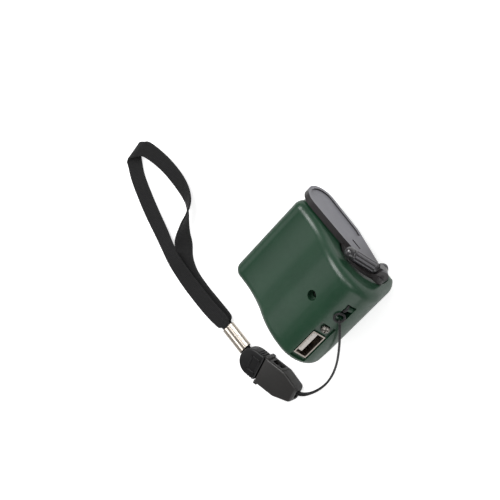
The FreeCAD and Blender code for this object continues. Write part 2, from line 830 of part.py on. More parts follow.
housing = []
for number, (x, y) in enumerate(POSTS):
    housing.append(screw("housing_screw_%d" % number, "z", "screw_seat_z",
                         "screw_seat_z - screw_head_high", "screw_seat_z + screw_length",
                         "screw_head / 2", "screw_radius", x, y))
piece("housing_screws", bundle("housing_screws", housing))
piece("port_screw", at_port(screw(
    "port_screw", "z", "recess_floor_z", "recess_floor_z + screw_head_high",
    "board_under_z - nut_thick - 0.6", "screw_head / 2", "screw_radius",
    "port_screw_x", "port_screw_y")))
piece("port_nut", at_port(cut("port_nut", block(
    "nut_block", ("port_screw_x - nut_width / 2", "port_screw_x + nut_width / 2"),
    ("port_screw_y - nut_width / 2", "port_screw_y + nut_width / 2"),
    ("board_under_z - nut_thick", "board_under_z")), [rod(
        "nut_bore", "z", "screw_radius", ("board_under_z - 3", "board_top_z"),
        "port_screw_x", "port_screw_y")])))
board_screws = []
for tag in "ab":
    board_screws.append(screw("board_screw_" + tag, "z", "board_under_z",
                              "board_under_z - board_screw_head_high",
                              "board_under_z + board_screw_length", "board_screw_head / 2",
                              "board_screw_radius", "board_post_%s_x" % tag,
                              "board_post_%s_y" % tag))
piece("board_screws", at_port(bundle("board_screws", board_screws)))


# --- crank arm ---------------------------------------------------------------
def link_plate(name, near, far, low_y, high_y):
    """A plate whose outline wraps two circles, each an (x, z, radius) of formulas."""
    body = doc.addObject("PartDesign::Body", name)
    sketch = new_sketch(body, name + "_outline", "XZ_Plane")
    hub = (value(near[0]), value(near[1]))
    tip = (value(far[0]), value(far[1]))
    big, small = value(near[2]), value(far[2])
    span = math.hypot(tip[0] - hub[0], tip[1] - hub[1])
    aim = math.degrees(math.atan2(tip[1] - hub[1], tip[0] - hub[0]))
    open_angle = math.degrees(math.acos((big - small) / span))
    top, bottom = aim + open_angle, aim - open_angle

    def on(centre, radius, degrees):
        turn = math.radians(degrees)
        return Vector(centre[0] + radius * math.cos(turn), centre[1] + radius * math.sin(turn), 0)

    sketch.addGeometry([
        arc(hub, big, top, bottom + 360),
        Part.LineSegment(on(hub, big, bottom), on(tip, small, bottom)),
        arc(tip, small, bottom, top),
        Part.LineSegment(on(tip, small, top), on(hub, big, top)),
    ])
    for ends in ((0, 2, 1, 1), (1, 2, 2, 1), (2, 2, 3, 1), (3, 2, 0, 1)):
        sketch.addConstraint(Sketcher.Constraint("Tangent", *ends))
    measure(sketch, "Radius", (0,), near[2])
    measure(sketch, "Radius", (2,), far[2])
    measure_from_origin(sketch, 0, 3, near[0], near[1])
    measure_from_origin(sketch, 2, 3, far[0], far[1])
    feature = pad(body, sketch, name + "_pad", "(%s) - (%s)" % (high_y, low_y))
    feature.Reversed = True
    return put(body, "0", low_y, "0")


def arm_plate(name, inset, low_y, high_y):
    """The arm's plate, from hub to elbow to tip, drawn in by an inset."""
    hub = ("hub_x", "hub_z", "hub_radius - (%s)" % inset)
    elbow = ("elbow_x", "elbow_z", "elbow_radius - (%s)" % inset)
    tip = ("tip_x", "tip_z", "tip_radius - (%s)" % inset)
    return join(name, [link_plate(name + "_broad", hub, elbow, low_y, high_y),
                       link_plate(name + "_slim", elbow, tip, low_y, high_y)])


HANDLE_TURN = Rotation(Vector(0, 1, 0), value("handle_slope"))
HANDLE_LEAN = HANDLE_TURN * Rotation(Vector(0, 0, 1), value("handle_dip"))


def at_hinge(item, turn):
    """Carry a shape drawn about the hinge pin, free end toward -x, to its place."""
    item.Placement = Placement(Vector(), turn)
    return put(item, "hinge_x", "hinge_y", "hinge_z")


SLOT_HALF = "knuckle_half + side_gap"
LUG_END = "knuckle_half + side_gap + lug_thick"
plate = arm_plate("arm_plate", "0", "arm_in_y", "arm_out_y")
panel = common("panel_tool", arm_plate(
    "arm_panel", "panel_rim", "arm_out_y - panel_depth", "arm_out_y + 1"), block(
        "panel_space", ("hub_x - hub_radius", "panel_end_x"), ("arm_in_y", "arm_out_y + 2"),
        ("0", "thin_height")))
trough = at_hinge(bundle("trough", [rod(
    "trough_round", "x", "grip_diameter / 2 + trough_gap",
    ("-handle_end - free_gap * 2", "-knuckle_radius - 0.5"), "0", "0")]), HANDLE_LEAN)
slit = block("slit", ("slit_x", "slit_x + slit_length"), ("arm_out_y - 1", "arm_out_y + 1"),
             ("slit_z - slit_width / 2", "slit_z + slit_width / 2"))
lobe = common("lobe", rod("lobe_disc", "y", "lobe_radius", ("arm_in_y", "arm_in_y + flange_thick"),
                          "lobe_x", "lobe_z"), block(
    "lobe_space", ("lobe_x - lobe_radius", "lobe_x + lobe_radius"), ("arm_in_y - 1", "arm_out_y"),
    ("lobe_z + lobe_cut_rise", "lobe_z + lobe_radius + 1")))
lugs = at_hinge(join("lugs", [
    rod("lug_high", "z", "knuckle_radius + lug_rim", (SLOT_HALF, LUG_END), "0", "0"),
    rod("lug_low", "z", "knuckle_radius + lug_rim", ("-(%s)" % LUG_END, "-(%s)" % SLOT_HALF),
        "0", "0")]), HANDLE_TURN)
slot = at_hinge(join("knuckle_slot", [
    block("slot_block", ("-knuckle_radius - 1", "knuckle_radius + 6"),
          ("-knuckle_radius - free_gap", "6"), ("-(%s)" % SLOT_HALF, SLOT_HALF)),
    rod("pin_hole", "z", "pin_diameter / 2", ("-(%s)" % LUG_END, LUG_END), "0", "0")]),
    HANDLE_TURN)
spigot = rod("spigot", "y", "spigot_diameter / 2", ("crank_gear_y", "arm_in_y + 1"),
             "axle_x", "axle_z")
arm_cut = cut("arm_cut", join("arm_blank", [plate, lobe]), [panel, trough, slit])
arm_join = join("arm_join", [arm_cut, lugs, spigot])
FLAT_Z = ("axle_z + spigot_flat", "axle_z + spigot_diameter")
crank_arm = piece("crank_arm", cut("crank_arm", arm_join, [
    slot,
    block("spigot_flat_cut", ("axle_x - spigot_diameter", "axle_x + spigot_diameter"),
          ("crank_gear_y - 1", "crank_gear_end"), FLAT_Z),
    rod("spigot_pilot", "y", "screw_radius", ("crank_gear_y - 1", "crank_gear_y + 7"),
        "axle_x", "axle_z")]))

piece("crank_bush", cut("crank_bush", join("bush_solid", [
    rod("bush_tube", "y", "bush_radius", ("crank_gear_end + 0.2", "arm_in_y - 0.1"),
        "axle_x", "axle_z"),
    rod("bush_flange_disc", "y", "bush_radius + bush_flange",
        ("inner_y - bush_flange_thick", "inner_y"),
        "axle_x", "axle_z")]),
    [rod("bush_bore", "y", "spigot_diameter / 2 + running_gap",
         ("crank_gear_y", "arm_in_y + 1"), "axle_x", "axle_z")]))
piece("crank_washer", cut("crank_washer", rod(
    "washer_disc", "y", "washer_radius", ("crank_gear_y - washer_thick", "crank_gear_y"),
    "axle_x", "axle_z"), [rod(
        "washer_hole", "y", "screw_radius", ("crank_gear_y - 1", "crank_gear_y + 1"),
        "axle_x", "axle_z")]))
piece("crank_screw", screw("crank_screw", "y", "crank_gear_y - washer_thick",
                           "crank_gear_y - washer_thick - 1.3", "crank_gear_y + 6.5",
                           "screw_head / 2", "screw_radius", "axle_x", "axle_z"))

# --- handle ------------------------------------------------------------------
piece("handle_hinge_pin", at_hinge(bundle("handle_hinge_pin", [rod(
    "pin_rod", "z", "pin_diameter / 2", ("-(%s)" % LUG_END, LUG_END), "0", "0")]), HANDLE_TURN))
core_solid = join("core_solid", [
    rod("knuckle", "z", "knuckle_radius", ("-knuckle_half", "knuckle_half"), "0", "0"),
    block("neck", ("-grip_start + side_gap + 0.5", "0"), ("-knuckle_radius", "knuckle_radius"),
          ("-knuckle_half", "knuckle_half")),
    rod("neck_collar", "x", "knuckle_half", ("-grip_start + side_gap", "-knuckle_radius"),
        "0", "0"),
    rod("spindle", "x", "spindle_diameter / 2", ("-handle_end + cap_grip", "0"), "0", "0")])
piece("handle_core", at_hinge(cut("handle_core", core_solid, [rod(
    "knuckle_bore", "z", "pin_diameter / 2 + running_gap",
    ("-knuckle_width", "knuckle_width"), "0", "0")]), HANDLE_LEAN))
flutes = []
for index in range(int(value("flute_count"))):
    angle = "360 * %d / flute_count" % index
    reach = "(grip_diameter / 2 + flute_radius * 0.3)"
    flutes.append(rod("flute_%d" % index, "x", "flute_radius",
                      ("-grip_end + flute_margin", "-grip_start - flute_margin"),
                      "%s * cos(%s)" % (reach, angle), "%s * sin(%s)" % (reach, angle)))
grip_bore = rod("grip_bore", "x", "spindle_diameter / 2 + running_gap",
                ("-grip_end - 1", "-grip_start + 1"), "0", "0")
piece("handle_grip", at_hinge(cut("handle_grip", rod(
    "grip_solid", "x", "grip_diameter / 2", ("-grip_end", "-grip_start"), "0", "0"),
    flutes + [grip_bore]), HANDLE_LEAN))
dome = doc.addObject("Part::Sphere", "cap_dome")
bind(dome, "Radius", "grip_diameter / 2")
put(dome, "-handle_end + grip_diameter / 2", "0", "0")
piece("handle_cap", at_hinge(cut("handle_cap", join("cap_solid", [
    common("cap_round", dome, block("cap_space", ("-handle_end - 1", "-cap_start"),
                                    ("-9", "9"), ("-9", "9"))),
    rod("cap_skirt", "x", "grip_diameter / 2", ("-handle_end + grip_diameter / 2", "-cap_start"),
        "0", "0")]), [rod(
            "cap_bore", "x", "spindle_diameter / 2", ("-handle_end + cap_grip", "-cap_start + 1"),
            "0", "0")]), HANDLE_LEAN))

# --- gear train --------------------------------------------------------------
FIRST = "first_bearing"
SECOND = "second_bearing"
THIRD = "rotor_bearing"
SHARE = "crank_teeth / pinion_teeth"
PINION_PHASE = "%s + 180 + 180 / pinion_teeth + %s * %s" % (FIRST, FIRST, SHARE)
MATE = "%s + 180 + 180 / pinion_teeth - (%s - %s) * wheel_teeth / pinion_teeth"
SECOND_PHASE = MATE % (SECOND, "0", SECOND)
ROTOR_PHASE = MATE % (THIRD, "0", THIRD)


def gear_pair(name, x, z, wheel_y, pinion_end, collar_y, phase):
    """A wheel and its pinion, moulded in one piece that turns on a fixed axle."""
    wheel = toothed(name + "_wheel", "wheel_teeth", wheel_y, wheel_y + " + wheel_thick",
                    x, z, "0")
    start = wheel_y + " + wheel_thick - 0.2"
    pinion = toothed(name + "_pinion", "pinion_teeth", start, pinion_end, x, z, phase)
    collar = rod(name + "_collar", "y", "axle_diameter / 2 + running_gap + collar_wall",
                 (collar_y, wheel_y + " + 0.5"), x, z)
    return cut(name, join(name + "_solid", [wheel, pinion, collar]), [rod(
        name + "_bore", "y", "axle_diameter / 2 + running_gap",
        (collar_y + " - 1", pinion_end + " + 1"), x, z)])


crank_disc = toothed("crank_disc", "crank_teeth", "crank_gear_y", "crank_gear_end",
                     "axle_x", "axle_z", "0")
d_bore = cut("d_bore", rod("d_bore_round", "y", "spigot_diameter / 2",
                           ("crank_gear_y - 1", "crank_gear_end + 1"), "axle_x", "axle_z"),
             [block("d_bore_flat", ("axle_x - spigot_diameter", "axle_x + spigot_diameter"),
                    ("crank_gear_y - 2", "crank_gear_end + 2"), FLAT_Z)])
piece("crank_gear", cut("crank_gear", crank_disc, [d_bore]))
piece("first_gear", gear_pair("first_gear", "first_x", "first_z", "first_wheel_y",
                              "crank_gear_end + 0.2", "plate_back_y + side_gap", PINION_PHASE))
piece("second_gear", gear_pair("second_gear", "second_x", "second_z", "second_wheel_y",
                               "first_wheel_y + wheel_thick + 0.2", "plate_back_y + side_gap",
                               SECOND_PHASE))
piece("first_axle", rod("first_axle", "y", "axle_diameter / 2",
                        ("plate_y", "first_axle_end"), "first_x", "first_z"))
piece("second_axle", rod("second_axle", "y", "axle_diameter / 2",
                         ("plate_y", "second_axle_end"), "second_x", "second_z"))

MOTOR_SCREWS = ("rotor_x - motor_screw_span", "rotor_x + motor_screw_span")
plate_holes = [
    rod("plate_axle_1", "y", "axle_diameter / 2", ("plate_y - 1", "plate_back_y + 1"),
        "first_x", "first_z"),
    rod("plate_axle_2", "y", "axle_diameter / 2", ("plate_y - 1", "plate_back_y + 1"),
        "second_x", "second_z"),
    rod("plate_nose", "y", "nose_radius", ("plate_y - 1", "plate_back_y + 1"),
        "rotor_x", "rotor_z"),
]
motor_screws = []
for number, x in enumerate(MOTOR_SCREWS):
    plate_holes.append(taper("plate_sink_%d" % number, "y", "screw_radius - 0.25", "screw_radius + 1",
                             ("plate_y - 0.15", "plate_back_y"), x, "rotor_z"))
    motor_screws.append(join("motor_screw_%d" % number, [
        taper("motor_screw_head_%d" % number, "y", "screw_radius - 0.25", "screw_radius + 1",
              ("plate_y - 0.15", "plate_back_y"), x, "rotor_z"),
        rod("motor_screw_shank_%d" % number, "y", "motor_screw_radius",
            ("plate_y - can_front", "plate_back_y - 0.1"), x, "rotor_z")]))
piece("gear_plate", cut("gear_plate", common("plate_blank", plate_room, block(
    "plate_block", ("plate_low_x", "plate_high_x"), ("plate_y", "plate_back_y"),
    ("plate_low_z", "plate_top_z"))), plate_holes))
piece("motor_screws", bundle("motor_screws", motor_screws))

# --- generator ---------------------------------------------------------------
rotor_pinion = toothed("rotor_pinion_disc", "pinion_teeth", "second_wheel_y - 0.1",
                       "second_wheel_y + wheel_thick + 0.1", "rotor_x", "rotor_z", ROTOR_PHASE)
SHAFT_END = "second_wheel_y + wheel_thick + 0.3"
piece("rotor_pinion", cut("rotor_pinion", rotor_pinion, [rod(
    "pinion_bore", "y", "motor_shaft / 2", ("plate_y", SHAFT_END), "rotor_x", "rotor_z")]))
can_holes = [
    rod("can_inside", "y", "can_radius - can_wall", ("can_back_y - 1", "plate_y - can_front"),
        "rotor_x", "rotor_z"),
    rod("can_shaft_hole", "y", "motor_shaft / 2 + running_gap", ("plate_y - 3", "plate_back_y"),
        "rotor_x", "rotor_z"),
]
for number, x in enumerate(MOTOR_SCREWS):
    can_holes.append(rod("can_screw_hole_%d" % number, "y", "motor_screw_radius",
                         ("plate_y - 3", "plate_y + 1"), x, "rotor_z"))
piece("generator_can", cut("generator_can", join("can_solid", [
    rod("can_drum", "y", "can_radius", ("can_back_y", "plate_y"), "rotor_x", "rotor_z"),
    rod("can_nose", "y", "nose_radius", ("plate_y - 0.5", "plate_back_y - 0.1"),
        "rotor_x", "rotor_z")]), can_holes))
piece("generator_endcap", cut("generator_endcap", join("endcap_solid", [
    rod("endcap_disc", "y", "can_radius", ("endcap_back_y", "can_back_y"),
        "rotor_x", "rotor_z"),
    rod("endcap_spigot", "y", "can_radius - can_wall", ("can_back_y - 0.5", "can_back_y + 0.8"),
        "rotor_x", "rotor_z")]), [
    rod("endcap_bore", "y", "motor_shaft / 2 + running_gap",
        ("endcap_back_y + 0.6", "can_back_y + 2"), "rotor_x", "rotor_z")]))
ROTOR_LOW = "can_back_y + 3.4"
ROTOR_HIGH = "plate_y - can_front - 1.6"
piece("generator_magnets", cut("generator_magnets", rod(
    "magnet_ring", "y", "can_radius - can_wall", (ROTOR_LOW, ROTOR_HIGH), "rotor_x", "rotor_z"),
    [rod("magnet_bore", "y", "can_radius - can_wall - magnet_thick",
         (ROTOR_LOW + " - 1", ROTOR_HIGH + " + 1"), "rotor_x", "rotor_z"),
     block("magnet_split", ("rotor_x - magnet_gap / 2", "rotor_x + magnet_gap / 2"),
           (ROTOR_LOW + " - 1", ROTOR_HIGH + " + 1"),
           ("rotor_z - can_radius", "rotor_z + can_radius"))]))
slots = []
for index in range(3):
    angle = "90 + 120 * %d" % index
    slots.append(rod("rotor_slot_%d" % index, "y", "rotor_slot_radius", (ROTOR_LOW, ROTOR_HIGH),
                     "rotor_x + rotor_diameter / 2 * cos(%s)" % angle,
                     "rotor_z + rotor_diameter / 2 * sin(%s)" % angle))
rotor_drum = cut("rotor_drum", rod("rotor_round", "y", "rotor_diameter / 2",
                                   (ROTOR_LOW + " + 0.4", ROTOR_HIGH + " - 0.4"),
                                   "rotor_x", "rotor_z"), slots)
piece("generator_rotor", join("generator_rotor", [
    rotor_drum,
    rod("rotor_shaft", "y", "motor_shaft / 2", ("endcap_back_y + 0.8", SHAFT_END),
        "rotor_x", "rotor_z"),
    rod("commutator", "y", "commutator_radius", ("can_back_y + 1.2", ROTOR_LOW + " + 0.6"),
        "rotor_x", "rotor_z")]))
terminals = []
for tag, z in (("a", "rotor_z + terminal_rise"), ("b", "rotor_z - terminal_rise")):
    terminals.append(block("terminal_" + tag,
                           ("rotor_x + terminal_x", "rotor_x + terminal_x + terminal_wide"),
                           ("endcap_back_y - terminal_long", "endcap_back_y"),
                           (z + " - terminal_thick / 2", z + " + terminal_thick / 2")))
piece("generator_terminals", bundle("generator_terminals", terminals))

# --- circuit board and port --------------------------------------------------
board_holes = []
for name, radius, x, y in (
        ("board_screw_hole", "screw_bore", "port_screw_x", "port_screw_y"),
        ("board_hole_a", "board_screw_radius", "board_post_a_x", "board_post_a_y"),
        ("board_hole_b", "board_screw_radius", "board_post_b_x", "board_post_b_y")):
    board_holes.append(rod(name, "z", radius, ("board_under_z - 1", "board_top_z + 1"), x, y))
piece("circuit_board", at_port(cut("circuit_board", join("board_solid", [
    block("board_block", ("board_low_x", "board_high_x"), ("board_low_y", "board_high_y"),
          ("board_under_z", "board_top_z")),
    block("led_tab", ("board_low_x", "led_tab_x"), ("board_high_y - 1", "led_tab_y"),
          ("board_under_z", "board_top_z"))]), board_holes)))


def port_block(name, half_x, half_y, z, shift="0"):
    """A box on the port's own axis."""
    middle = "port_x + " + shift
    return block(name, ("%s - (%s)" % (middle, half_x), "%s + %s" % (middle, half_x)),
                 ("port_y - (%s)" % half_y, "port_y + %s" % half_y), z)


piece("usb_shell", at_port(cut("usb_shell", join("usb_solid", [
    port_block("usb_outer", "usb_short / 2", "usb_long / 2", ("board_top_z", "usb_mouth_z")),
    port_block("usb_rim", "usb_short / 2 + usb_lip / 2", "usb_long / 2 + usb_lip",
               ("usb_mouth_z - usb_sheet", "usb_mouth_z"))]), [port_block(
                   "usb_inner", "usb_short / 2 - usb_sheet", "usb_long / 2 - usb_sheet",
                   ("board_top_z + usb_sheet", "usb_mouth_z + 1"))])))
piece("usb_tongue", at_port(join("usb_tongue", [
    port_block("tongue_base", "usb_short / 2 - usb_sheet", "usb_long / 2 - usb_sheet",
               ("board_top_z + usb_sheet", "board_top_z + 2")),
    port_block("tongue_blade", "tongue_thick / 2", "tongue_long / 2",
               ("board_top_z + 1.5", "usb_mouth_z - tongue_drop"), "(-tongue_offset)")])))
contacts = []
for index in range(4):
    y = "port_y + (%d - 1.5) * contact_pitch" % index
    contacts.append(block("contact_%d" % index,
                          ("port_x - tongue_offset + tongue_thick / 2",
                           "port_x - tongue_offset + tongue_thick / 2 + contact_thick"),
                          (y + " - contact_wide / 2", y + " + contact_wide / 2"),
                          ("board_top_z + 2", "usb_mouth_z - tongue_drop - 0.6")))
piece("usb_contacts", at_port(bundle("usb_contacts", contacts)))

diodes = []
for index in range(2):
    diodes.append(rod("diode_%d" % index, "y", "diode_radius",
                      ("diode_low_y", "diode_low_y + diode_length"),
                      "diode_x + %d * diode_pitch" % index, "board_top_z + diode_radius"))
for label, items in (
        ("storage_capacitor", [rod(
            "capacitor", "y", "capacitor_radius",
            ("capacitor_low_y", "capacitor_low_y + capacitor_length"),
            "capacitor_x", "board_under_z - capacitor_radius")]),
        ("power_inductor", [rod(
            "inductor", "z", "inductor_radius", ("board_under_z - inductor_high", "board_under_z"),
            "inductor_x", "inductor_y")]),
        ("regulator_chip", [block(
            "chip", ("chip_x", "chip_x + chip_wide"), ("chip_y", "chip_y + chip_long"),
            ("board_top_z", "board_top_z + chip_high"))]),
        ("rectifier_diodes", diodes)):
    piece(label, at_port(bundle(label, items)))

led_low = "led_top_z - led_length"
led_parts = [
    rod("led_barrel", "z", "led_diameter / 2", (led_low, "led_top_z - led_diameter / 2"),
        "led_x", "led_y"),
    rod("led_collar", "z", "led_diameter / 2 + led_rim", (led_low, led_low + " + 1"),
        "led_x", "led_y")]
for tag, x in (("a", "led_x - lead_pitch / 2"), ("b", "led_x + lead_pitch / 2")):
    led_parts.append(rod("led_lead_" + tag, "z", "lead_diameter / 2", (
        "end_centre_z - (%s - crest_x) * tan(port_tilt) + 0.25" % x, led_low), x, "led_y"))
lens = doc.addObject("Part::Sphere", "led_lens")
bind(lens, "Radius", "led_diameter / 2")
led_parts.append(put(lens, "led_x", "led_y", "led_top_z - led_diameter / 2"))
piece("status_led", join("status_led", led_parts))

# --- wires, cord, buckle and strap ---------------------------------------------
piece("generator_wire_red", cord("generator_wire_red", [
    (1.4, -18.2, 21.3), (1.4, -18.2, 23.5), (3.4, -19.2, 24.6), (6.4, -19.6, 23.0),
    (9.3, -19.4, 23.28), (11.06, -19.4, 25.38)], "wire_diameter"))
piece("generator_wire_black", cord("generator_wire_black", [
    (1.4, -18.2, 14.7), (1.4, -18.2, 12.7), (3.0, -19.0, 11.2), (5.6, -19.5, 12.2),
    (7.6, -19.7, 15.4), (8.6, -19.6, 19.6), (11.0, -19.4, 21.73), (12.82, -19.4, 23.9)],
    "wire_diameter"))

# the doubled cord, out to the buckle's tail and back
CORD_ROUTE = [
    (24.5, 4.6, 33.7), (27.4, 1.3, 32.8), (30.3, -9.2, 24.0), (31.2, -21.8, 11.0),
    (32.2, -31.6, 4.2), (32.3, -39.5, 1.0), (31.0, -46.4, 0.8), (28.6, -51.3, 1.9),
    (24.9, -53.0, 3.2), (20.6, -54.1, 3.4), (20.2, -52.8, 3.4), (24.4, -51.6, 3.5),
    (28.2, -49.8, 3.0), (30.9, -45.8, 2.2), (32.5, -38.9, 2.4), (32.5, -30.9, 5.4),
    (31.5, -21.1, 12.3), (30.6, -8.5, 25.2), (27.6, 2.2, 34.1), (24.3, 5.6, 34.5)]
piece("lanyard_cord", cord("lanyard_cord", CORD_ROUTE, "cord_diameter"))
knots = []
for tag, turn, x, y, z in (("bar", Rotation(Vector(0, 1, 0), 90), "1.3", "bar_y",
                            "bar_ring"),
                           ("rest", Rotation(), "-0.1", "8.0",
                            "end_radius_out + cord_diameter / 2 + 0.1")):
    ring = doc.addObject("Part::Torus", "knot_" + tag)
    ring.Placement = Placement(Vector(), turn)
    bind(ring, "Radius1", "bar_diameter / 2 + cord_diameter / 2 + 0.15")
    bind(ring, "Radius2", "cord_diameter / 2")
    knots.append(put(ring, x, y, z))
piece("cord_knot", at_port(bundle("cord_knot", knots)))


def at_buckle(item):
    """Carry a shape drawn along x from the buckle's mouth, tail toward +x, to its place."""
    item.Placement = Placement(Vector(), Rotation(Vector(0, 0, 1), value("buckle_turn")))
    return put(item, "buckle_x", "buckle_y", "buckle_z")


tail_body = doc.addObject("PartDesign::Body", "socket_form")
tail_sketch = new_sketch(tail_body, "socket_outline", "XY_Plane")
HALF, TAIL = "socket_width / 2", "socket_tail / 2"
polygon(tail_sketch, [("0", "-" + HALF), ("socket_straight", "-" + HALF), ("socket_length", "-" + TAIL),
                      ("socket_length", TAIL), ("socket_straight", HALF), ("0", HALF)])
pad(tail_body, tail_sketch, "socket_pad", "buckle_high")
piece("buckle_socket", at_buckle(cut("buckle_socket", join("socket_solid", [
    tail_body,
    block("socket_ears", ("0", "ear_length"), ("-ear_width / 2", "ear_width / 2"),
          ("0.3", "buckle_high - 0.3"))]), [
    block("socket_cavity", ("-1", "prong_length + 1.4"),
          ("-socket_width / 2 + buckle_wall", "socket_width / 2 - buckle_wall"),
          ("buckle_wall", "buckle_high - buckle_wall")),
    block("socket_windows", ("ear_length + 1.5", "prong_length + 0.4"),
          ("-socket_width", "socket_width"), ("buckle_wall + 0.4", "buckle_high - buckle_wall - 0.4")),
    block("socket_bore", ("prong_length + 3", "socket_length + 1"),
          ("-cord_diameter - cord_room", "cord_diameter + cord_room"),
          ("buckle_high / 2 - cord_diameter - cord_room", "buckle_high / 2 + cord_diameter")),
])))
PRONG_Z = ("buckle_wall + prong_sunk", "buckle_high - buckle_wall - prong_sunk")
plug_parts = [
    cut("plug_round", rod("plug_disc", "z", "plug_radius", ("0", "buckle_high"),
                          "plug_radius - plug_length", "0"), [
        block("plug_disc_end", ("-side_gap", "plug_radius"), ("-plug_radius", "plug_radius"),
              ("-1", "buckle_high + 1"))]),
    block("plug_block", ("plug_radius - plug_length", "-side_gap"), ("-plug_radius", "plug_radius"),
          ("0", "buckle_high")),
    block("plug_tongue", ("-1", "prong_length - 2"), ("-1", "1"),
          ("buckle_wall + free_gap", "buckle_high - buckle_wall - free_gap"))]
for tag, side in (("left", "1"), ("right", "-1")):
    middle = "prong_y * " + side
    plug_parts.append(block("prong_" + tag, ("-1", "prong_length"),
                            (middle + " - prong_thick / 2", middle + " + prong_thick / 2"),
                            PRONG_Z))
    plug_parts.append(rod("barb_" + tag, "z", "barb_radius", PRONG_Z,
                          "prong_length - 2.4", "(prong_y + 0.9) * " + side))
piece("buckle_plug", at_buckle(cut("buckle_plug", join("plug_solid", plug_parts), [
    block("plug_mouth", ("-plug_length - 1", "-plug_length + mouth_depth"),
          ("-mouth_half", "mouth_half"), ("mouth_low", "buckle_high - mouth_low"))])))


def oval_bar(name, x, half_width, half_high):
    """A flat bar with round edges, along x, about the ferrule's axis."""
    reach = "(%s) - (%s)" % (half_width, half_high)
    return join(name, [
        rod(name + "_a", "x", half_high, x, "ferrule_y - (%s)" % reach, "ferrule_z"),
        rod(name + "_b", "x", half_high, x, "ferrule_y + %s" % reach, "ferrule_z"),
        block(name + "_m", x, ("ferrule_y - (%s)" % reach, "ferrule_y + %s" % reach),
              ("ferrule_z - (%s)" % half_high, "ferrule_z + %s" % half_high))])


FERRULE = ("ferrule_x", "ferrule_x + ferrule_length")
piece("ferrule", cut("ferrule", oval_bar("ferrule_outer", FERRULE, "ferrule_width / 2",
                                        "ferrule_high / 2"), [
    oval_bar("ferrule_inner", ("ferrule_x - 1", "ferrule_x + ferrule_length + 1"),
             "ferrule_width / 2 - ferrule_wall", "ferrule_high / 2 - ferrule_wall"),
    rod("ferrule_flute", "x", "ferrule_groove", ("ferrule_x - 1", "ferrule_x + ferrule_length + 1"),
        "ferrule_y", "ferrule_z + (ferrule_high + ferrule_groove) / 2")]))


def ribbon(name, stations, thick):
    """A flat strip through stations, each x, y, z, then its width's bearing, tilt and size."""
    half = value(thick) / 2
    rings = []
    for index, (x, y, z, bearing, tilt, width) in enumerate(stations):
        here = Vector(x, y, z)
        before = Vector(*stations[max(index - 1, 0)][:3])
        after = Vector(*stations[min(index + 1, len(stations) - 1)][:3])
        level = Vector(math.cos(math.radians(bearing)), math.sin(math.radians(bearing)), 0)
        across = level * math.cos(math.radians(tilt)) + Vector(0, 0, math.sin(math.radians(tilt)))
        normal = across.cross(after - before).normalize()
        rings.append([here + across * (side * width / 2) + normal * (face * half)
                      for side, face in ((-1, -1), (1, -1), (1, 1), (-1, 1))])
    corners = [(rings[0][0], rings[0][1], rings[0][2]), (rings[0][0], rings[0][2], rings[0][3]),
               (rings[-1][2], rings[-1][1], rings[-1][0]), (rings[-1][3], rings[-1][2], rings[-1][0])]
    for near, far in zip(rings, rings[1:]):
        for side in range(4):
            following = (side + 1) % 4
            corners.append((near[side], far[side], far[following]))
            corners.append((near[side], far[following], near[following]))
    faces = [Part.Face(Part.makePolygon([a, b, c, a])) for a, b, c in corners]
    item = doc.addObject("Part::Feature", name)
    item.Shape = Part.Solid(Part.Shell(faces))
    if item.Shape.Volume < 0:
        item.Shape = item.Shape.reversed()
    return item


# out over the ferrule's upper way, flat to the tip, folded there, back on edge and under
STRAP = [
    (-0.6, -59.2, 4.2, 96, 0, 5.6), (-5.0, -58.4, 3.9, 90, 0, 4.6), (-17.4, -58.4, 3.9, 90, 0, 4.6),
    (-20.5, -59.0, 3.5, 90, 0, 7.6), (-30.0, -60.6, 2.5, 90, 0, 8.2),
    (-43.0, -60.9, 2.2, 88, 0, 8.2), (-51.0, -60.2, 2.7, 85, 4, 8.2),
    (-57.5, -59.0, 3.4, 82, 8, 8.2), (-64.0, -57.6, 3.0, 80, 8, 8.2),
    (-71.0, -56.2, 2.0, 80, 4, 8.2), (-84.0, -53.3, 1.0, 75, 0, 8.2),
    (-97.0, -48.8, 0.8, 67, 0, 8.2), (-103.6, -44.9, 0.9, 66, 0, 8.6),
    (-107.3, -40.6, 2.4, 92, 0, 10.6), (-105.2, -36.4, 4.2, 97, 0, 9.6),
    (-101.6, -33.0, 4.0, 97, 4, 8.4), (-90.4, -30.8, 3.4, 86, 8, 8.2),
    (-79.0, -30.8, 3.6, 80, 14, 8.2), (-71.2, -32.8, 4.2, 66, 34, 8.2),
    (-67.2, -36.8, 4.8, 46, 60, 8.2), (-65.0, -40.8, 4.9, 42, 80, 8.2),
    (-62.0, -45.6, 4.6, 42, 106, 8.2), (-58.6, -50.6, 2.8, 52, 148, 8.2),
    (-54.0, -55.4, 1.2, 66, 172, 8.2), (-47.0, -58.2, 0.8, 80, 180, 8.2),
    (-38.0, -59.0, 0.7, 88, 180, 8.2), (-30.0, -58.8, 0.8, 90, 180, 8.2),
    (-20.5, -58.0, 1.6, 90, 180, 7.6), (-17.4, -58.4, 2.3, 90, 180, 4.6),
    (-5.0, -58.4, 2.3, 90, 180, 4.6), (-0.6, -59.2, 2.4, 96, 180, 5.6)]
piece("wrist_strap", ribbon("wrist_strap", STRAP, "strap_thick"))

# --- export ------------------------------------------------------------------
doc.recompute()
for item in doc.Objects:
    if "Invalid" in item.State or "Error" in item.State:
        raise RuntimeError("%s did not build: %s" % (item.Label, item.State))
for item in pieces:
    shape = item.Shape
    if shape.isNull() or not shape.isValid():
        raise RuntimeError("%s has no valid shape" % item.Label)
    shape.exportStep("parts/%s.step" % item.Label)
    box = shape.BoundBox
    print("%-20s solids %d  x %.1f..%.1f  y %.1f..%.1f  z %.1f..%.1f" % (
        item.Label, len(shape.Solids), box.XMin, box.XMax, box.YMin, box.YMax,
        box.ZMin, box.ZMax))
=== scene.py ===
"""A hand crank phone charger and its lanyard: metres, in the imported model's frame."""
import json
import math

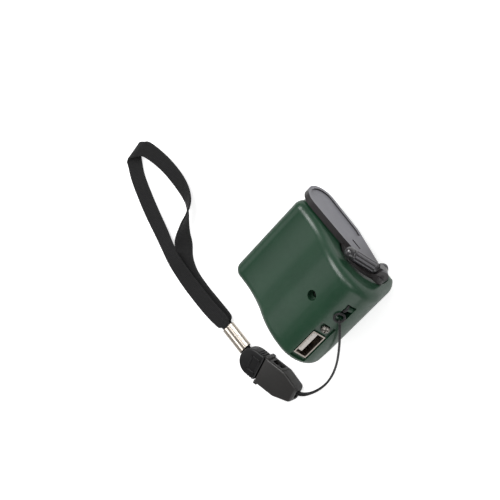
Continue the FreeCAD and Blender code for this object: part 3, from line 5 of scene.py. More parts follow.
import bmesh
import bpy
from mathutils import Matrix, Vector


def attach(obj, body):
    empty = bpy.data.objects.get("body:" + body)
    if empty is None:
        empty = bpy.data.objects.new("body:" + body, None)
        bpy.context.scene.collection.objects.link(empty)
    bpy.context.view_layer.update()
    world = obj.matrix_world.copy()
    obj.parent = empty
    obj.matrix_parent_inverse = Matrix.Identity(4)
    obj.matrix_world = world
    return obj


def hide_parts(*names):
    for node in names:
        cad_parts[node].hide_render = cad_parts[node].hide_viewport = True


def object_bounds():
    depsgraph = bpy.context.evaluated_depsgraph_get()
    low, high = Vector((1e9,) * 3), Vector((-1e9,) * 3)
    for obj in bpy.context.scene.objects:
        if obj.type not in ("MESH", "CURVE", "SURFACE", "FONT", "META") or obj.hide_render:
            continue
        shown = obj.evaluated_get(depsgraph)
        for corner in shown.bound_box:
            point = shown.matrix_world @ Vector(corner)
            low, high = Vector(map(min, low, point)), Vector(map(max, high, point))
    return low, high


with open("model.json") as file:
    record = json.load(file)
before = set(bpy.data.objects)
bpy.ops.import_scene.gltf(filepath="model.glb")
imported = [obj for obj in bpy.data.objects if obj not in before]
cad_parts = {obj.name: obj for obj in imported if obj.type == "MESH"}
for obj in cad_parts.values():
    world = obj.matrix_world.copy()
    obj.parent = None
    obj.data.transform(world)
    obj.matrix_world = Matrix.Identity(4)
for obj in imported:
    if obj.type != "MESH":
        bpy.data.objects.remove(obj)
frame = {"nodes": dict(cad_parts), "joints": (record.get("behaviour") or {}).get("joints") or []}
CAD_LOW, CAD_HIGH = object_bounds()
NODES = frame["nodes"]
SCENE = bpy.context.scene
MM = 0.001
MICRON = 0.000001


def from_mm(points):
    """Points given in millimetres, as vectors in metres."""
    return [Vector(point) * MM for point in points]


# --- camera ------------------------------------------------------------------
CAMERA_AT = Vector((0.13426, 0.30184, 0.55384))
CAMERA_AIM = Vector((-0.02922, -0.01503, 0.0190))
CAMERA_ROLL = math.radians(-105.49)
SENSOR_MM = 36.0
LENS_MM = 108.0
CLIP_NEAR = 0.01
CLIP_FAR = 10.0


def make_camera():
    """A long lens high over the port end, rolled so that the front face points left."""
    forward = (CAMERA_AIM - CAMERA_AT).normalized()
    level_right = forward.cross(Vector((0, 0, 1))).normalized()
    level_up = level_right.cross(forward)
    up = level_up * math.cos(CAMERA_ROLL) - level_right * math.sin(CAMERA_ROLL)
    right = forward.cross(up)
    data = bpy.data.cameras.new("camera")
    data.sensor_width = SENSOR_MM
    data.lens = LENS_MM
    data.clip_start = CLIP_NEAR
    data.clip_end = CLIP_FAR
    camera = bpy.data.objects.new("camera", data)
    turn = Matrix((right, up, -forward)).transposed()
    camera.matrix_world = Matrix.Translation(CAMERA_AT) @ turn.to_4x4()
    SCENE.collection.objects.link(camera)
    SCENE.camera = camera


make_camera()

# --- patterns, in millimetres --------------------------------------------------
FLOW_CLOUDS = 15.4      # faint clouds where the plastic flowed into its mould
SCUFFS = 2.38           # small rubbed spots
MOULD_GRAIN = 0.303     # spark-eroded grain: the real 0.1 wouldn't show, so it is this coarse
TOOL_MARKS = 1.11       # drawing, turning and stamping marks, before they are stretched
LIT_GREY_CLOUDS = 11.1   # uneven tone of the painted light grey
ORANGE_PEEL = 0.667     # fine skin of the arm's faces
FINGER_SCUFFS = 1.43    # on the sleeve that the fingers turn
TAPE_RIBS = 0.7         # weft ribs across the strap
TAPE_WARP = 0.35        # warp lines along it, drawn wider than its 0.2 threads so that they show
TAPE_FADING = 11.1      # worn and faded patches
BRAID_STRANDS = 0.45    # slanted strands of the cord
LENS_HAZE = 1.11        # clouds in the cast epoxy
CARD_FIBRE = 167.0      # very faint unevenness of the white card

SCUFF_STARTS = 0.35     # the noise level at which a scuff starts to dull a moulding
SCUFF_FULL = 0.75       # and the level at which it is full
SCUFF_DULLS = 0.14      # what a full scuff adds to the roughness
MARK_STARTS = 0.3       # the same for the marks on metal
MARK_FULL = 0.7
MARK_SHINES = 0.05      # what the smooth places between the marks lose of it
MARK_DULLS = 0.1
RELIEF = 0.5            # strength of hard relief
WOVEN_RELIEF = 0.7      # strength of woven and braided relief

# the arm's painted light and shade, in metres of the frame and shares
LIT_FACE_FACING = (0.55, 0.9)        # how far a face turns outward: bare black below, painted light grey above
TROUGH_SHADE_TO_FACE = (0.0253, 0.0258)   # height out of the casing: the handle's trough stays black as painted shade
FORK_SHADE_SPAN = (-0.002, 0.014)      # along the casing: painted shade darkens the faces towards the fork
FORK_SHADE_LEFT = 0.3                    # what is left of the painted light there

CROWN_LIGHT_REACH = (0.25, 0.85)        # how high on a crown the painted highlight starts and is full
WARP_SHARE = 0.35                   # weight of the warp lines beside the ribs
FADING_SHARE = 0.4                  # weight of the faded patches


def spots(width):
    """The noise scale whose spots are about this many millimetres wide."""
    return 1 / (width * MM)


def bands(spacing):
    """The wave scale whose bands come every so many millimetres."""
    radians_per_unit = 20.0
    return 2 * math.pi / radians_per_unit / (spacing * MM)


# --- materials ---------------------------------------------------------------
def linear(code):
    """An sRGB hex colour as linear values, opaque."""
    channels = []
    for start in (1, 3, 5):
        share = int(code[start:start + 2], 16) / 255
        channels.append(share / 12.92 if share <= 0.04045 else ((share + 0.055) / 1.055) ** 2.4)
    return (*channels, 1.0)


def add_node(tree, kind, settings=None, links=None):
    """Add a node, set its properties or sockets, and link sources to its sockets."""
    node = tree.nodes.new(kind)
    for key, setting in (settings or {}).items():
        if isinstance(key, str) and hasattr(node, key):
            setattr(node, key, setting)
        else:
            node.inputs[key].default_value = setting
    for socket, source in (links or {}).items():
        tree.links.new(source, node.inputs[socket])
    return node


def new_material(name, settings):
    """A Principled material, its tree, its shader and the object's own coordinates."""
    material = bpy.data.materials.new(name)
    material.use_nodes = True
    tree = material.node_tree
    shader = tree.nodes["Principled BSDF"]
    for key, setting in settings.items():
        shader.inputs[key].default_value = setting
    return material, tree, shader, add_node(tree, "ShaderNodeTexCoord").outputs


def feed(tree, shader, sources):
    """Link each source to the shader's socket of that name."""
    for socket, source in sources.items():
        tree.links.new(source, shader.inputs[socket])


def moulded(name, dark, light, roughness, grain_microns, coat=0.0, coat_roughness=0.2):
    """Injection-moulded plastic: a spark-eroded grain under a soft gloss, faint clouds of
    flow, and small scuffs that dull it here and there."""
    material, tree, shader, place = new_material(name, {
        "Coat Weight": coat, "Coat Roughness": coat_roughness})
    clouds = add_node(tree, "ShaderNodeTexNoise", {"Scale": spots(FLOW_CLOUDS), "Detail": 3.0},
                      {"Vector": place["Object"]})
    tint = add_node(tree, "ShaderNodeMix", {"data_type": "RGBA", 6: linear(dark), 7: linear(light)},
                    {0: clouds.outputs["Fac"]})
    scuffs = add_node(tree, "ShaderNodeTexNoise", {
        "Scale": spots(SCUFFS), "Detail": 5.0, "Roughness": 0.7}, {"Vector": place["Object"]})
    gloss = add_node(tree, "ShaderNodeMapRange", {
        "From Min": SCUFF_STARTS, "From Max": SCUFF_FULL,
        "To Min": roughness, "To Max": roughness + SCUFF_DULLS}, {"Value": scuffs.outputs["Fac"]})
    pits = add_node(tree, "ShaderNodeTexNoise", {"Scale": spots(MOULD_GRAIN), "Detail": 2.0},
                    {"Vector": place["Object"]})
    relief = add_node(tree, "ShaderNodeBump", {
        "Strength": RELIEF, "Distance": grain_microns * MICRON}, {"Height": pits.outputs["Fac"]})
    feed(tree, shader, {"Base Color": tint.outputs[2], "Roughness": gloss.outputs["Result"],
                        "Normal": relief.outputs["Normal"]})
    return material


def worked_metal(name, dark, light, roughness, stretch, depth_microns):
    """Drawn, turned or stamped metal: fine marks, long along one way, that streak its shine."""
    material, tree, shader, place = new_material(name, {"Metallic": 1.0})
    along = add_node(tree, "ShaderNodeMapping", {"Scale": stretch}, {"Vector": place["Object"]})
    marks = add_node(tree, "ShaderNodeTexNoise", {"Scale": spots(TOOL_MARKS), "Detail": 4.0},
                     {"Vector": along.outputs["Vector"]})
    tint = add_node(tree, "ShaderNodeMix", {"data_type": "RGBA", 6: linear(dark), 7: linear(light)},
                    {0: marks.outputs["Fac"]})
    gloss = add_node(tree, "ShaderNodeMapRange", {
        "From Min": MARK_STARTS, "From Max": MARK_FULL,
        "To Min": roughness - MARK_SHINES, "To Max": roughness + MARK_DULLS},
        {"Value": marks.outputs["Fac"]})
    relief = add_node(tree, "ShaderNodeBump", {
        "Strength": RELIEF, "Distance": depth_microns * MICRON}, {"Height": marks.outputs["Fac"]})
    feed(tree, shader, {"Base Color": tint.outputs[2], "Roughness": gloss.outputs["Result"],
                        "Normal": relief.outputs["Normal"]})
    return material


def arm_with_painted_light():
    """Black moulded plastic with light painted on: the faces that turn outward are painted light
    grey as lit, with a fine orange peel, and darker towards the fork as painted shade; the trough
    stays nearly black as painted shade, and the walls, rims and slit stay black plastic."""
    material, tree, shader, place = new_material("black_arm_plastic_painted_light", {
        "Coat Weight": 0.15, "Coat Roughness": 0.3})
    outward = add_node(tree, "ShaderNodeSeparateXYZ", {}, {"Vector": place["Normal"]})
    spot = add_node(tree, "ShaderNodeSeparateXYZ", {}, {"Vector": place["Object"]})
    # painted light: faces turned outward get the lit grey
    lit_facing = add_node(tree, "ShaderNodeMapRange", {
        "interpolation_type": "SMOOTHSTEP",
        "From Min": LIT_FACE_FACING[0], "From Max": LIT_FACE_FACING[1]},
        {"Value": outward.outputs["Y"]})
    # painted shade: the handle's trough stays black
    raised = add_node(tree, "ShaderNodeMapRange", {
        "interpolation_type": "SMOOTHSTEP",
        "From Min": TROUGH_SHADE_TO_FACE[0], "From Max": TROUGH_SHADE_TO_FACE[1]},
        {"Value": spot.outputs["Y"]})
    # painted shade: the faces darken towards the fork
    fork_shading = add_node(tree, "ShaderNodeMapRange", {
        "From Min": FORK_SHADE_SPAN[0], "From Max": FORK_SHADE_SPAN[1],
        "To Min": 1.0, "To Max": FORK_SHADE_LEFT}, {"Value": spot.outputs["X"]})
    unshaded = add_node(tree, "ShaderNodeMath", {"operation": "MULTIPLY"},
                       {0: raised.outputs["Result"], 1: fork_shading.outputs["Result"]})
    lit_share = add_node(tree, "ShaderNodeMath", {"operation": "MULTIPLY"},
                     {0: lit_facing.outputs["Result"], 1: unshaded.outputs["Value"]})
    clouds = add_node(tree, "ShaderNodeTexNoise", {"Scale": spots(LIT_GREY_CLOUDS), "Detail": 4.0},
                      {"Vector": place["Object"]})
    # the painted light's grey, unevenly toned
    lit_grey = add_node(tree, "ShaderNodeMix", {
        "data_type": "RGBA", 6: linear("#68686e"), 7: linear("#807f85")},
        {0: clouds.outputs["Fac"]})
    tint = add_node(tree, "ShaderNodeMix", {"data_type": "RGBA", 6: linear("#262324")},
                    {0: lit_share.outputs["Value"], 7: lit_grey.outputs[2]})
    peel = add_node(tree, "ShaderNodeTexNoise", {"Scale": spots(ORANGE_PEEL), "Detail": 2.0},
                    {"Vector": place["Object"]})
    gloss = add_node(tree, "ShaderNodeMapRange", {"To Min": 0.34, "To Max": 0.5},
                     {"Value": peel.outputs["Fac"]})
    relief = add_node(tree, "ShaderNodeBump", {"Strength": RELIEF, "Distance": 20 * MICRON},
                      {"Height": peel.outputs["Fac"]})
    feed(tree, shader, {"Base Color": tint.outputs[2], "Roughness": gloss.outputs["Result"],
                        "Normal": relief.outputs["Normal"]})
    return material


def nylon_with_painted_flute_light():
    """Moulded black nylon with painted light: its crowns are painted grey as highlight, while its
    flutes stay dark as painted shade: the sleeve reads as light and dark stripes along it."""
    material, tree, shader, place = new_material("nylon_grip_painted_flute_light", {
        "Coat Weight": 0.7, "Coat Roughness": 0.16})
    crown = add_node(tree, "ShaderNodeAttribute", {"attribute_name": "crown_light"})
    crown_lit = add_node(tree, "ShaderNodeMapRange", {
        "interpolation_type": "SMOOTHSTEP",
        "From Min": CROWN_LIGHT_REACH[0], "From Max": CROWN_LIGHT_REACH[1]},
        {"Value": crown.outputs["Fac"]})
    scuffs = add_node(tree, "ShaderNodeTexNoise", {"Scale": spots(FINGER_SCUFFS), "Detail": 4.0},
                      {"Vector": place["Object"]})
    # painted highlight on the crowns, painted shade in the flutes
    tint = add_node(tree, "ShaderNodeMix", {
        "data_type": "RGBA", 6: linear("#0b0a0b"), 7: linear("#57565a")},
        {0: crown_lit.outputs["Result"]})
    gloss = add_node(tree, "ShaderNodeMapRange", {"To Min": 0.2, "To Max": 0.4},
                     {"Value": scuffs.outputs["Fac"]})
    relief = add_node(tree, "ShaderNodeBump", {"Strength": RELIEF, "Distance": 4 * MICRON},
                      {"Height": scuffs.outputs["Fac"]})
    feed(tree, shader, {"Base Color": tint.outputs[2], "Roughness": gloss.outputs["Result"],
                        "Normal": relief.outputs["Normal"]})
    return material


def woven_tape():
    """Polyester tape, ribbed across with finer warp lines along it: the ribs show as dull dark
    bars, the faded patches a little paler, and a short fuzz keeps it from shining."""
    material, tree, shader, place = new_material("woven_polyester_tape", {
        "Roughness": 0.8, "Sheen Weight": 0.04, "Sheen Roughness": 0.4})
    ribs = add_node(tree, "ShaderNodeTexWave", {
        "bands_direction": "X", "Scale": bands(TAPE_RIBS), "Distortion": 0.5, "Detail": 1.0},
        {"Vector": place["UV"]})
    warp = add_node(tree, "ShaderNodeTexWave", {
        "bands_direction": "Y", "Scale": bands(TAPE_WARP), "Distortion": 0.3},
        {"Vector": place["UV"]})
    weave = add_node(tree, "ShaderNodeMath", {"operation": "MULTIPLY_ADD", 1: WARP_SHARE},
                     {0: warp.outputs["Fac"], 2: ribs.outputs["Fac"]})
    clouds = add_node(tree, "ShaderNodeTexNoise", {"Scale": spots(TAPE_FADING), "Detail": 4.0},
                      {"Vector": place["Object"]})
    shade = add_node(tree, "ShaderNodeMapRange", {"From Max": 1 + WARP_SHARE, "To Max": 0.8},
                     {"Value": weave.outputs["Value"]})
    faded = add_node(tree, "ShaderNodeMath", {"operation": "MULTIPLY_ADD", 1: FADING_SHARE},
                     {0: clouds.outputs["Fac"], 2: shade.outputs["Result"]})
    tint = add_node(tree, "ShaderNodeMix", {
        "data_type": "RGBA", 6: linear("#050506"), 7: linear("#171718")},
        {0: faded.outputs["Value"]})
    relief = add_node(tree, "ShaderNodeBump", {"Strength": WOVEN_RELIEF, "Distance": 120 * MICRON},
                      {"Height": weave.outputs["Value"]})
    feed(tree, shader, {"Base Color": tint.outputs[2], "Normal": relief.outputs["Normal"]})
    return material


def braided_cord():
    """A tight polyester braid: slanted strands, just lighter than the gaps between them."""
    material, tree, shader, place = new_material("braided_polyester_cord", {
        "Roughness": 0.62, "Sheen Weight": 0.08})
    strands = add_node(tree, "ShaderNodeTexWave", {
        "bands_direction": "DIAGONAL", "Scale": bands(BRAID_STRANDS), "Distortion": 1.2,
        "Detail": 1.0}, {"Vector": place["Object"]})
    tint = add_node(tree, "ShaderNodeMix", {
        "data_type": "RGBA", 6: linear("#060607"), 7: linear("#1c1c1e")},
        {0: strands.outputs["Fac"]})
    relief = add_node(tree, "ShaderNodeBump", {"Strength": WOVEN_RELIEF, "Distance": 80 * MICRON},
                      {"Height": strands.outputs["Fac"]})
    feed(tree, shader, {"Base Color": tint.outputs[2], "Normal": relief.outputs["Normal"]})
    return material


def lens_with_painted_shade():
    """The light's cast epoxy body, clear but unlit, and painted nearly black as the shade deep in
    its hole.
    """
    material, tree, shader, place = new_material("cast_epoxy_lens", {
        "IOR": 1.5, "Transmission Weight": 0.35})
    haze = add_node(tree, "ShaderNodeTexNoise", {"Scale": spots(LENS_HAZE), "Detail": 3.0},
                    {"Vector": place["Object"]})
    # painted shade: nearly black as it sits deep in its hole
    tint = add_node(tree, "ShaderNodeMix", {
        "data_type": "RGBA", 6: linear("#0d1a12"), 7: linear("#1e2c22")}, {0: haze.outputs["Fac"]})
    gloss = add_node(tree, "ShaderNodeMapRange", {"To Min": 0.2, "To Max": 0.45},
                     {"Value": haze.outputs["Fac"]})
    feed(tree, shader, {"Base Color": tint.outputs[2], "Roughness": gloss.outputs["Result"]})
    return material


# dark green ABS: soft highlights along its edges and a satin skin between them
SHELL_ABS = moulded("moulded_abs_shell", "#163524", "#1e422d", roughness=0.32,
                    grain_microns=8, coat=0.2, coat_roughness=0.16)
# black plastic with painted light on its outward faces and painted shade in the trough and towards
# the fork
ARM_PAINTED_LIGHT = arm_with_painted_light()
# black nylon from a polished mould: small bright highlights on its round ends
HANDLE_NYLON = moulded("moulded_nylon_handle", "#262527", "#343335", roughness=0.26,
                       grain_microns=3, coat=1.0, coat_roughness=0.16)
# black nylon with painted highlight on its crowns and painted shade in its flutes
GRIP_NYLON = nylon_with_painted_flute_light()
# warm black acetal from a coarser mould: broad dull highlights, and the plug a shade darker
BUCKLE_ACETAL = moulded("moulded_acetal_buckle", "#252423", "#2f2e2d", roughness=0.34,
                        grain_microns=20, coat=0.1, coat_roughness=0.3)
PLUG_ACETAL = moulded("moulded_black_acetal_plug", "#0e0e0f", "#161617", roughness=0.36,
                      grain_microns=20)
# natural acetal: creamy white and slightly waxy
GEAR_ACETAL = moulded("moulded_acetal_gear", "#cfcbbd", "#ddd9cd", roughness=0.4,
                      grain_microns=10)
# plain black mouldings and sleeving: dark, with a low satin shine
BLACK_PLASTIC = moulded("moulded_black_part", "#161617", "#202022", roughness=0.38,
                        grain_microns=10)
# white moulded nylon: pale, faintly warm and half glossy
TONGUE_PLASTIC = moulded("moulded_white_tongue", "#cfc9c2", "#e2dcd6", roughness=0.3,
                         grain_microns=6)
# epoxy board under a cured green mask: even and glossy
BOARD_MASK = moulded("solder_mask_board", "#12401f", "#1a5229", roughness=0.3,
                     grain_microns=6, coat=0.3)
# soft extruded insulation: bright red and satin
RED_PVC = moulded("extruded_red_pvc", "#8f1413", "#a81f1c", roughness=0.36, grain_microns=6)
# pressed and fired ferrite: dark grey and matt
FERRITE = moulded("sintered_ferrite", "#26262a", "#323236", roughness=0.55, grain_microns=30)
# nickelled steel: bright, with small soft marks all ways
SCREW_STEEL = worked_metal("nickelled_screw_steel", "#77746f", "#a8a49d", roughness=0.26,
                           stretch=(1, 1, 1), depth_microns=4)
# blackened steel: nearly black, with a dull metal shine
PIN_STEEL = worked_metal("blackened_pin_steel", "#2c2b2c", "#413f40", roughness=0.36,
                         stretch=(1, 1, 1), depth_microns=4)
# tinned sheet, stamped: greyish silver, finely streaked along the mouth
TIN_PLATE = worked_metal("stamped_tin_plate", "#78726b", "#b3aca4", roughness=0.3,
                         stretch=(1, 6, 1), depth_microns=4)
# nickelled tube, drawn: warm and pale, with long fine streaks
FERRULE_NICKEL = worked_metal("drawn_nickel_ferrule", "#cfc3b3", "#f6efe6", roughness=0.38,
                              stretch=(0.02, 1.5, 1.5), depth_microns=2)
# turned brass: yellow, streaked by the tool
BRASS = worked_metal("turned_brass", "#a5803c", "#c9a55a", roughness=0.28,
                     stretch=(1, 5, 1), depth_microns=4)
# enamelled copper wire, wound: brown red, with ridges along the winding
COPPER = worked_metal("wound_copper_rotor", "#6d4a33", "#8d6a4b", roughness=0.38,
                      stretch=(1, 0.2, 1), depth_microns=30)
# drawn aluminium: pale grey, with faint lines along the can
ALUMINIUM = worked_metal("drawn_aluminium_can", "#8f9196", "#aeb1b5", roughness=0.33,
                         stretch=(1, 0.2, 1), depth_microns=4)
LENS = lens_with_painted_shade()
TAPE_CLOTH = woven_tape()
CORD_BRAID = braided_cord()

CAD_FINISHES = {
    SHELL_ABS: ("front_shell", "back_shell"),
    ARM_PAINTED_LIGHT: ("crank_arm",),
    HANDLE_NYLON: ("handle_core", "handle_cap"),
    GRIP_NYLON: ("handle_grip",),
    BUCKLE_ACETAL: ("buckle_socket",),
    PLUG_ACETAL: ("buckle_plug",),
    GEAR_ACETAL: ("crank_gear", "first_gear", "second_gear", "crank_bush"),
    BLACK_PLASTIC: ("generator_endcap", "power_inductor", "regulator_chip", "rectifier_diodes",
                    "generator_wire_black"),
    TONGUE_PLASTIC: ("usb_tongue",),
    BOARD_MASK: ("circuit_board",),
    RED_PVC: ("generator_wire_red",),
    SCREW_STEEL: ("housing_screws", "port_screw", "port_nut", "board_screws", "crank_washer",
                  "crank_screw", "first_axle", "second_axle", "gear_plate", "motor_screws",
                  "generator_can"),
    PIN_STEEL: ("handle_hinge_pin",),
    TIN_PLATE: ("usb_shell",),
    FERRULE_NICKEL: ("ferrule",),
    BRASS: ("usb_contacts", "rotor_pinion", "generator_terminals"),
    COPPER: ("generator_rotor",),
    FERRITE: ("generator_magnets",),
    ALUMINIUM: ("storage_capacitor",),
    LENS: ("status_led",),
    TAPE_CLOTH: ("wrist_strap",),
    CORD_BRAID: ("lanyard_cord", "cord_knot"),
}


def finish_cad_nodes():
    """Give each solid its finish, also the hidden ones that a piece stands for."""
    for material, names in CAD_FINISHES.items():
        for name in names:
            for place in NODES[name].material_slots:
                place.material = material


finish_cad_nodes()

# --- shared makers -----------------------------------------------------------
SMOOTH_BELOW = 32.0     # degrees between faces: a flatter edge is shaded smooth
ROUND_ABOVE = 15.0      # degrees between faces: a flatter edge is left unrounded
CORD_SIDES = 10
RING_STEPS = 32
SAME_SPOT = 0.01 * MM


def add(name, data, material, slot, *nodes, body="base"):
    """Place a piece on its body, give it its material, and hide the solids it stands for."""
    piece = bpy.data.objects.new(name, data)
    SCENE.collection.objects.link(piece)
    data.materials.append(material)
    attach(piece, body)
    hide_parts(*nodes)
    return piece


def finished(mesh, name, smooth_below=SMOOTH_BELOW):
    """A bmesh as mesh data, smooth but for its sharper edges."""
    bmesh.ops.recalc_face_normals(mesh, faces=mesh.faces[:])
    data = bpy.data.meshes.new(name)
    mesh.to_mesh(data)
    mesh.free()
    data.shade_smooth()
    data.set_sharp_from_angle(angle=math.radians(smooth_below))
    return data


def reopened(data):
    """A bmesh of mesh data, to add to or to move."""
    mesh = bmesh.new()
    mesh.from_mesh(data)
    return mesh


def prism(mesh, outline, low, high, rounding=0.0, segments=3):
    """Raise a closed outline of (x, y) millimetres from low to high, its edges rounded."""
    corners = [mesh.verts.new((x * MM, y * MM, low * MM)) for x, y in outline]
    bottom = mesh.faces.new(corners)
    raised = bmesh.ops.extrude_face_region(mesh, geom=[bottom])["geom"]
    top = [item for item in raised if isinstance(item, bmesh.types.BMVert)]
    bmesh.ops.translate(mesh, verts=top, vec=(0, 0, (high - low) * MM))
    if rounding:
        mesh.normal_update()
        edges = dict.fromkeys(edge for vert in corners + top for edge in vert.link_edges
                              if edge.calc_face_angle() > math.radians(ROUND_ABOVE))
        bmesh.ops.bevel(mesh, geom=list(edges), offset=rounding * MM, segments=segments,
                        profile=0.5, affect="EDGES", material=-1)


def box(mesh, x, y, z, rounding):
    """A block between (low, high) millimetres along each axis."""
    prism(mesh, [(x[0], y[0]), (x[1], y[0]), (x[1], y[1]), (x[0], y[1])], z[0], z[1], rounding)


def torus(mesh, radius, thick, centre, turn):
    """A ring of round cord about the turned z axis, in millimetres."""
    ring = bmesh.ops.create_circle(
        mesh, segments=CORD_SIDES, radius=thick * MM,
        matrix=Matrix.Translation((radius * MM, 0, 0)) @ Matrix.Rotation(math.pi / 2, 4, "X"))
    before = set(mesh.verts) - set(ring["verts"])
    edges = dict.fromkeys(edge for vert in ring["verts"] for edge in vert.link_edges)
    bmesh.ops.spin(mesh, geom=ring["verts"] + list(edges), cent=(0, 0, 0), axis=(0, 0, 1),
                   angle=2 * math.pi, steps=RING_STEPS, use_merge=True)
    made = [vert for vert in mesh.verts if vert not in before]
    move = Matrix.Translation(Vector(centre) * MM) @ turn
    bmesh.ops.transform(mesh, matrix=move, verts=made)


def carved(data, cutters):
    """The mesh less each cutter's mesh, closed again."""
    base = bpy.data.objects.new("carving", data)
    SCENE.collection.objects.link(base)
    tools = []
    for cutter in cutters:
        tool = bpy.data.objects.new("cutter", cutter)
        SCENE.collection.objects.link(tool)
        change = base.modifiers.new("cut", "BOOLEAN")
        change.object = tool
        change.solver = "EXACT"
        tools.append(tool)
    result = bpy.data.meshes.new_from_object(base.evaluated_get(
        bpy.context.evaluated_depsgraph_get()))
    for item in [base] + tools:
        bpy.data.objects.remove(item)
    result.name = data.name
    return result


# --- places on the object, as in the solids ------------------------------------
# the rounded end's own frame, in which z points out of the end and x down it
PORT_AXIS = Vector((14.0, 0.0, 25.0)) * MM
PORT_TILT = math.radians(40)
PORT = Matrix.Translation(PORT_AXIS) @ Matrix.Rotation(PORT_TILT, 4, "Y")
RECESS_FLOOR = 11.3
# the buckle's own frame, in which x runs towards the cord and z up
BUCKLE_AT = Vector((7.6, -57.0, 0.2)) * MM
BUCKLE_TURN = math.radians(15.5)
BUCKLE = Matrix.Translation(BUCKLE_AT) @ Matrix.Rotation(BUCKLE_TURN, 4, "Z")
BUCKLE_HIGH = 7.0

# --- lanyard cord ------------------------------------------------------------
CORD_DIAMETER = 1.0 * MM
CORD_ROUNDNESS = 4
CORD_STEPS = 10
CORD_ROUTE = from_mm([
    (24.5, 4.6, 33.7), (27.4, 1.3, 32.8), (30.3, -9.2, 24.0), (31.2, -21.8, 11.0),
    (32.2, -31.6, 4.2), (32.3, -39.5, 1.0), (31.0, -46.4, 0.8), (28.6, -51.3, 1.9),
    (24.9, -53.0, 3.2), (20.6, -54.1, 3.4), (20.2, -52.8, 3.4), (24.4, -51.6, 3.5),
    (28.2, -49.8, 3.0), (30.9, -45.8, 2.2), (32.5, -38.9, 2.4), (32.5, -30.9, 5.4),
    (31.5, -21.1, 12.3), (30.6, -8.5, 25.2), (27.6, 2.2, 34.1), (24.3, 5.6, 34.5)])

# rings of the knot: radius, half the cord's thickness and centre in the rounded end's frame
BAR_LOOP = (1.95, 0.5, (0.1, 12.0, 11.4))
RESTING_RING = (2.15, 0.52, (0.2, 7.4, 13.6))
HITCH = (0.8, 0.42, (1.5, 5.7, 13.6))
HITCH_TURN = math.radians(38)


def cord_curve(name, points, radius):
    """A smooth round cord along the points, closed at both ends."""
    curve = bpy.data.curves.new(name, "CURVE")
    curve.dimensions = "3D"
    curve.bevel_depth = radius
    curve.bevel_resolution = CORD_ROUNDNESS
    curve.resolution_u = CORD_STEPS
    curve.use_fill_caps = True
    spline = curve.splines.new("NURBS")
    spline.points.add(len(points) - 1)
    for place, point in zip(spline.points, points):
        place.co = (*point, 1.0)
    spline.order_u = 3
    spline.use_endpoint_u = True
    return curve


def make_knot():
    """The loop round the eye's bar, the ring that rests beside it, and the hitch that ties them."""
    mesh = bmesh.new()
    upright = Matrix.Rotation(math.pi / 2, 4, "Y")
    torus(mesh, *BAR_LOOP, upright)
    torus(mesh, *RESTING_RING, Matrix.Identity(4))
    torus(mesh, *HITCH, Matrix.Rotation(HITCH_TURN, 4, "Z") @ upright)
    bmesh.ops.transform(mesh, matrix=PORT, verts=mesh.verts[:])
    return add("cord_knot_hitch", finished(mesh, "cord_knot_hitch"), CORD_BRAID, "cord_black",
               "cord_knot")


# --- buckle, in its own frame's millimetres --------------------------------------
SOCKET_OUTLINE = [(0.3, -6.7), (11.2, -6.7), (19.2, -4.1), (20.0, -3.0), (20.0, 3.0), (19.2, 4.1),
                  (11.2, 6.7), (0.3, 6.7)]
EDGE_SEGMENTS = 4
SOCKET_ROUNDING = 0.9
# hollows: along, across, up and rounding
SOCKET_HOLLOWS = {
    "socket_cavity": ((-1.0, 10.0), (-5.5, 5.5), (1.3, BUCKLE_HIGH - 1.3), 0.5),
    "socket_windows": ((3.5, 9.0), (-7.6, 7.6), (1.7, BUCKLE_HIGH - 1.7), 0.7),
    "socket_bore": ((11.6, 21.0), (-2.0, 2.0), (1.5, 5.0), 0.8),
}
# blocks on both sides: along, out from the middle, gap above and below, and rounding
SOCKET_EAR = ((0.0, 2.0), (5.6, 7.6), 0.4, 0.45)
THUMB_RIB = ((9.5, 10.7), (6.0, 7.2), 1.4, 0.35)
PLUG_PRONG = ((-1.0, 8.6), (3.3, 4.5), 1.95, 0.25)
GRIP_RIBS = [((start, start + 0.6), (6.0, 6.75), 1.2, 0.2) for start in (-4.4, -3.1, -1.8)]

HEAD_CENTRE = -5.0
HEAD_RADIUS = 6.35
HEAD_STEPS = 24
HEAD_FRONT = -0.2
HEAD_LEVELS = (0.25, BUCKLE_HIGH - 0.35)
HEAD_ROUNDING = 0.8
PLUG_MOUTH = ((-12.6, -4.6), (-3.8, 3.8), (1.3, BUCKLE_HIGH - 1.4), 0.6)
# the raised frame's four bars: along and across
FRAME_BARS = [((-6.0, -0.9), (2.9, 3.7)), ((-6.0, -0.9), (-3.7, -2.9)),
              ((-6.0, -5.2), (-3.7, 3.7)), ((-1.7, -0.9), (-3.7, 3.7))]
FRAME_LEVELS = (BUCKLE_HIGH - 0.9, BUCKLE_HIGH)
FRAME_ROUNDING = 0.18
BARB_AT = (6.2, 4.7)
BARB_RADIUS = 1.2
BARB_HIGH = BUCKLE_HIGH - 3.9
BARB_SIDES = 24
PLUG_TONGUE = ((-1.0, 6.6), (-1.0, 1.0), (1.7, BUCKLE_HIGH - 1.7), 0.3)


def block(name, x, y, z, rounding):
    """One rounded block as mesh data, to carve with."""
    mesh = bmesh.new()
    box(mesh, x, y, z, rounding)
    return finished(mesh, name)


def side_block(mesh, side, x, reach, gap, rounding):
    """A block on one side of the buckle, a gap below its top and above its bottom."""
    box(mesh, x, sorted(side * y for y in reach), (gap, BUCKLE_HIGH - gap), rounding)


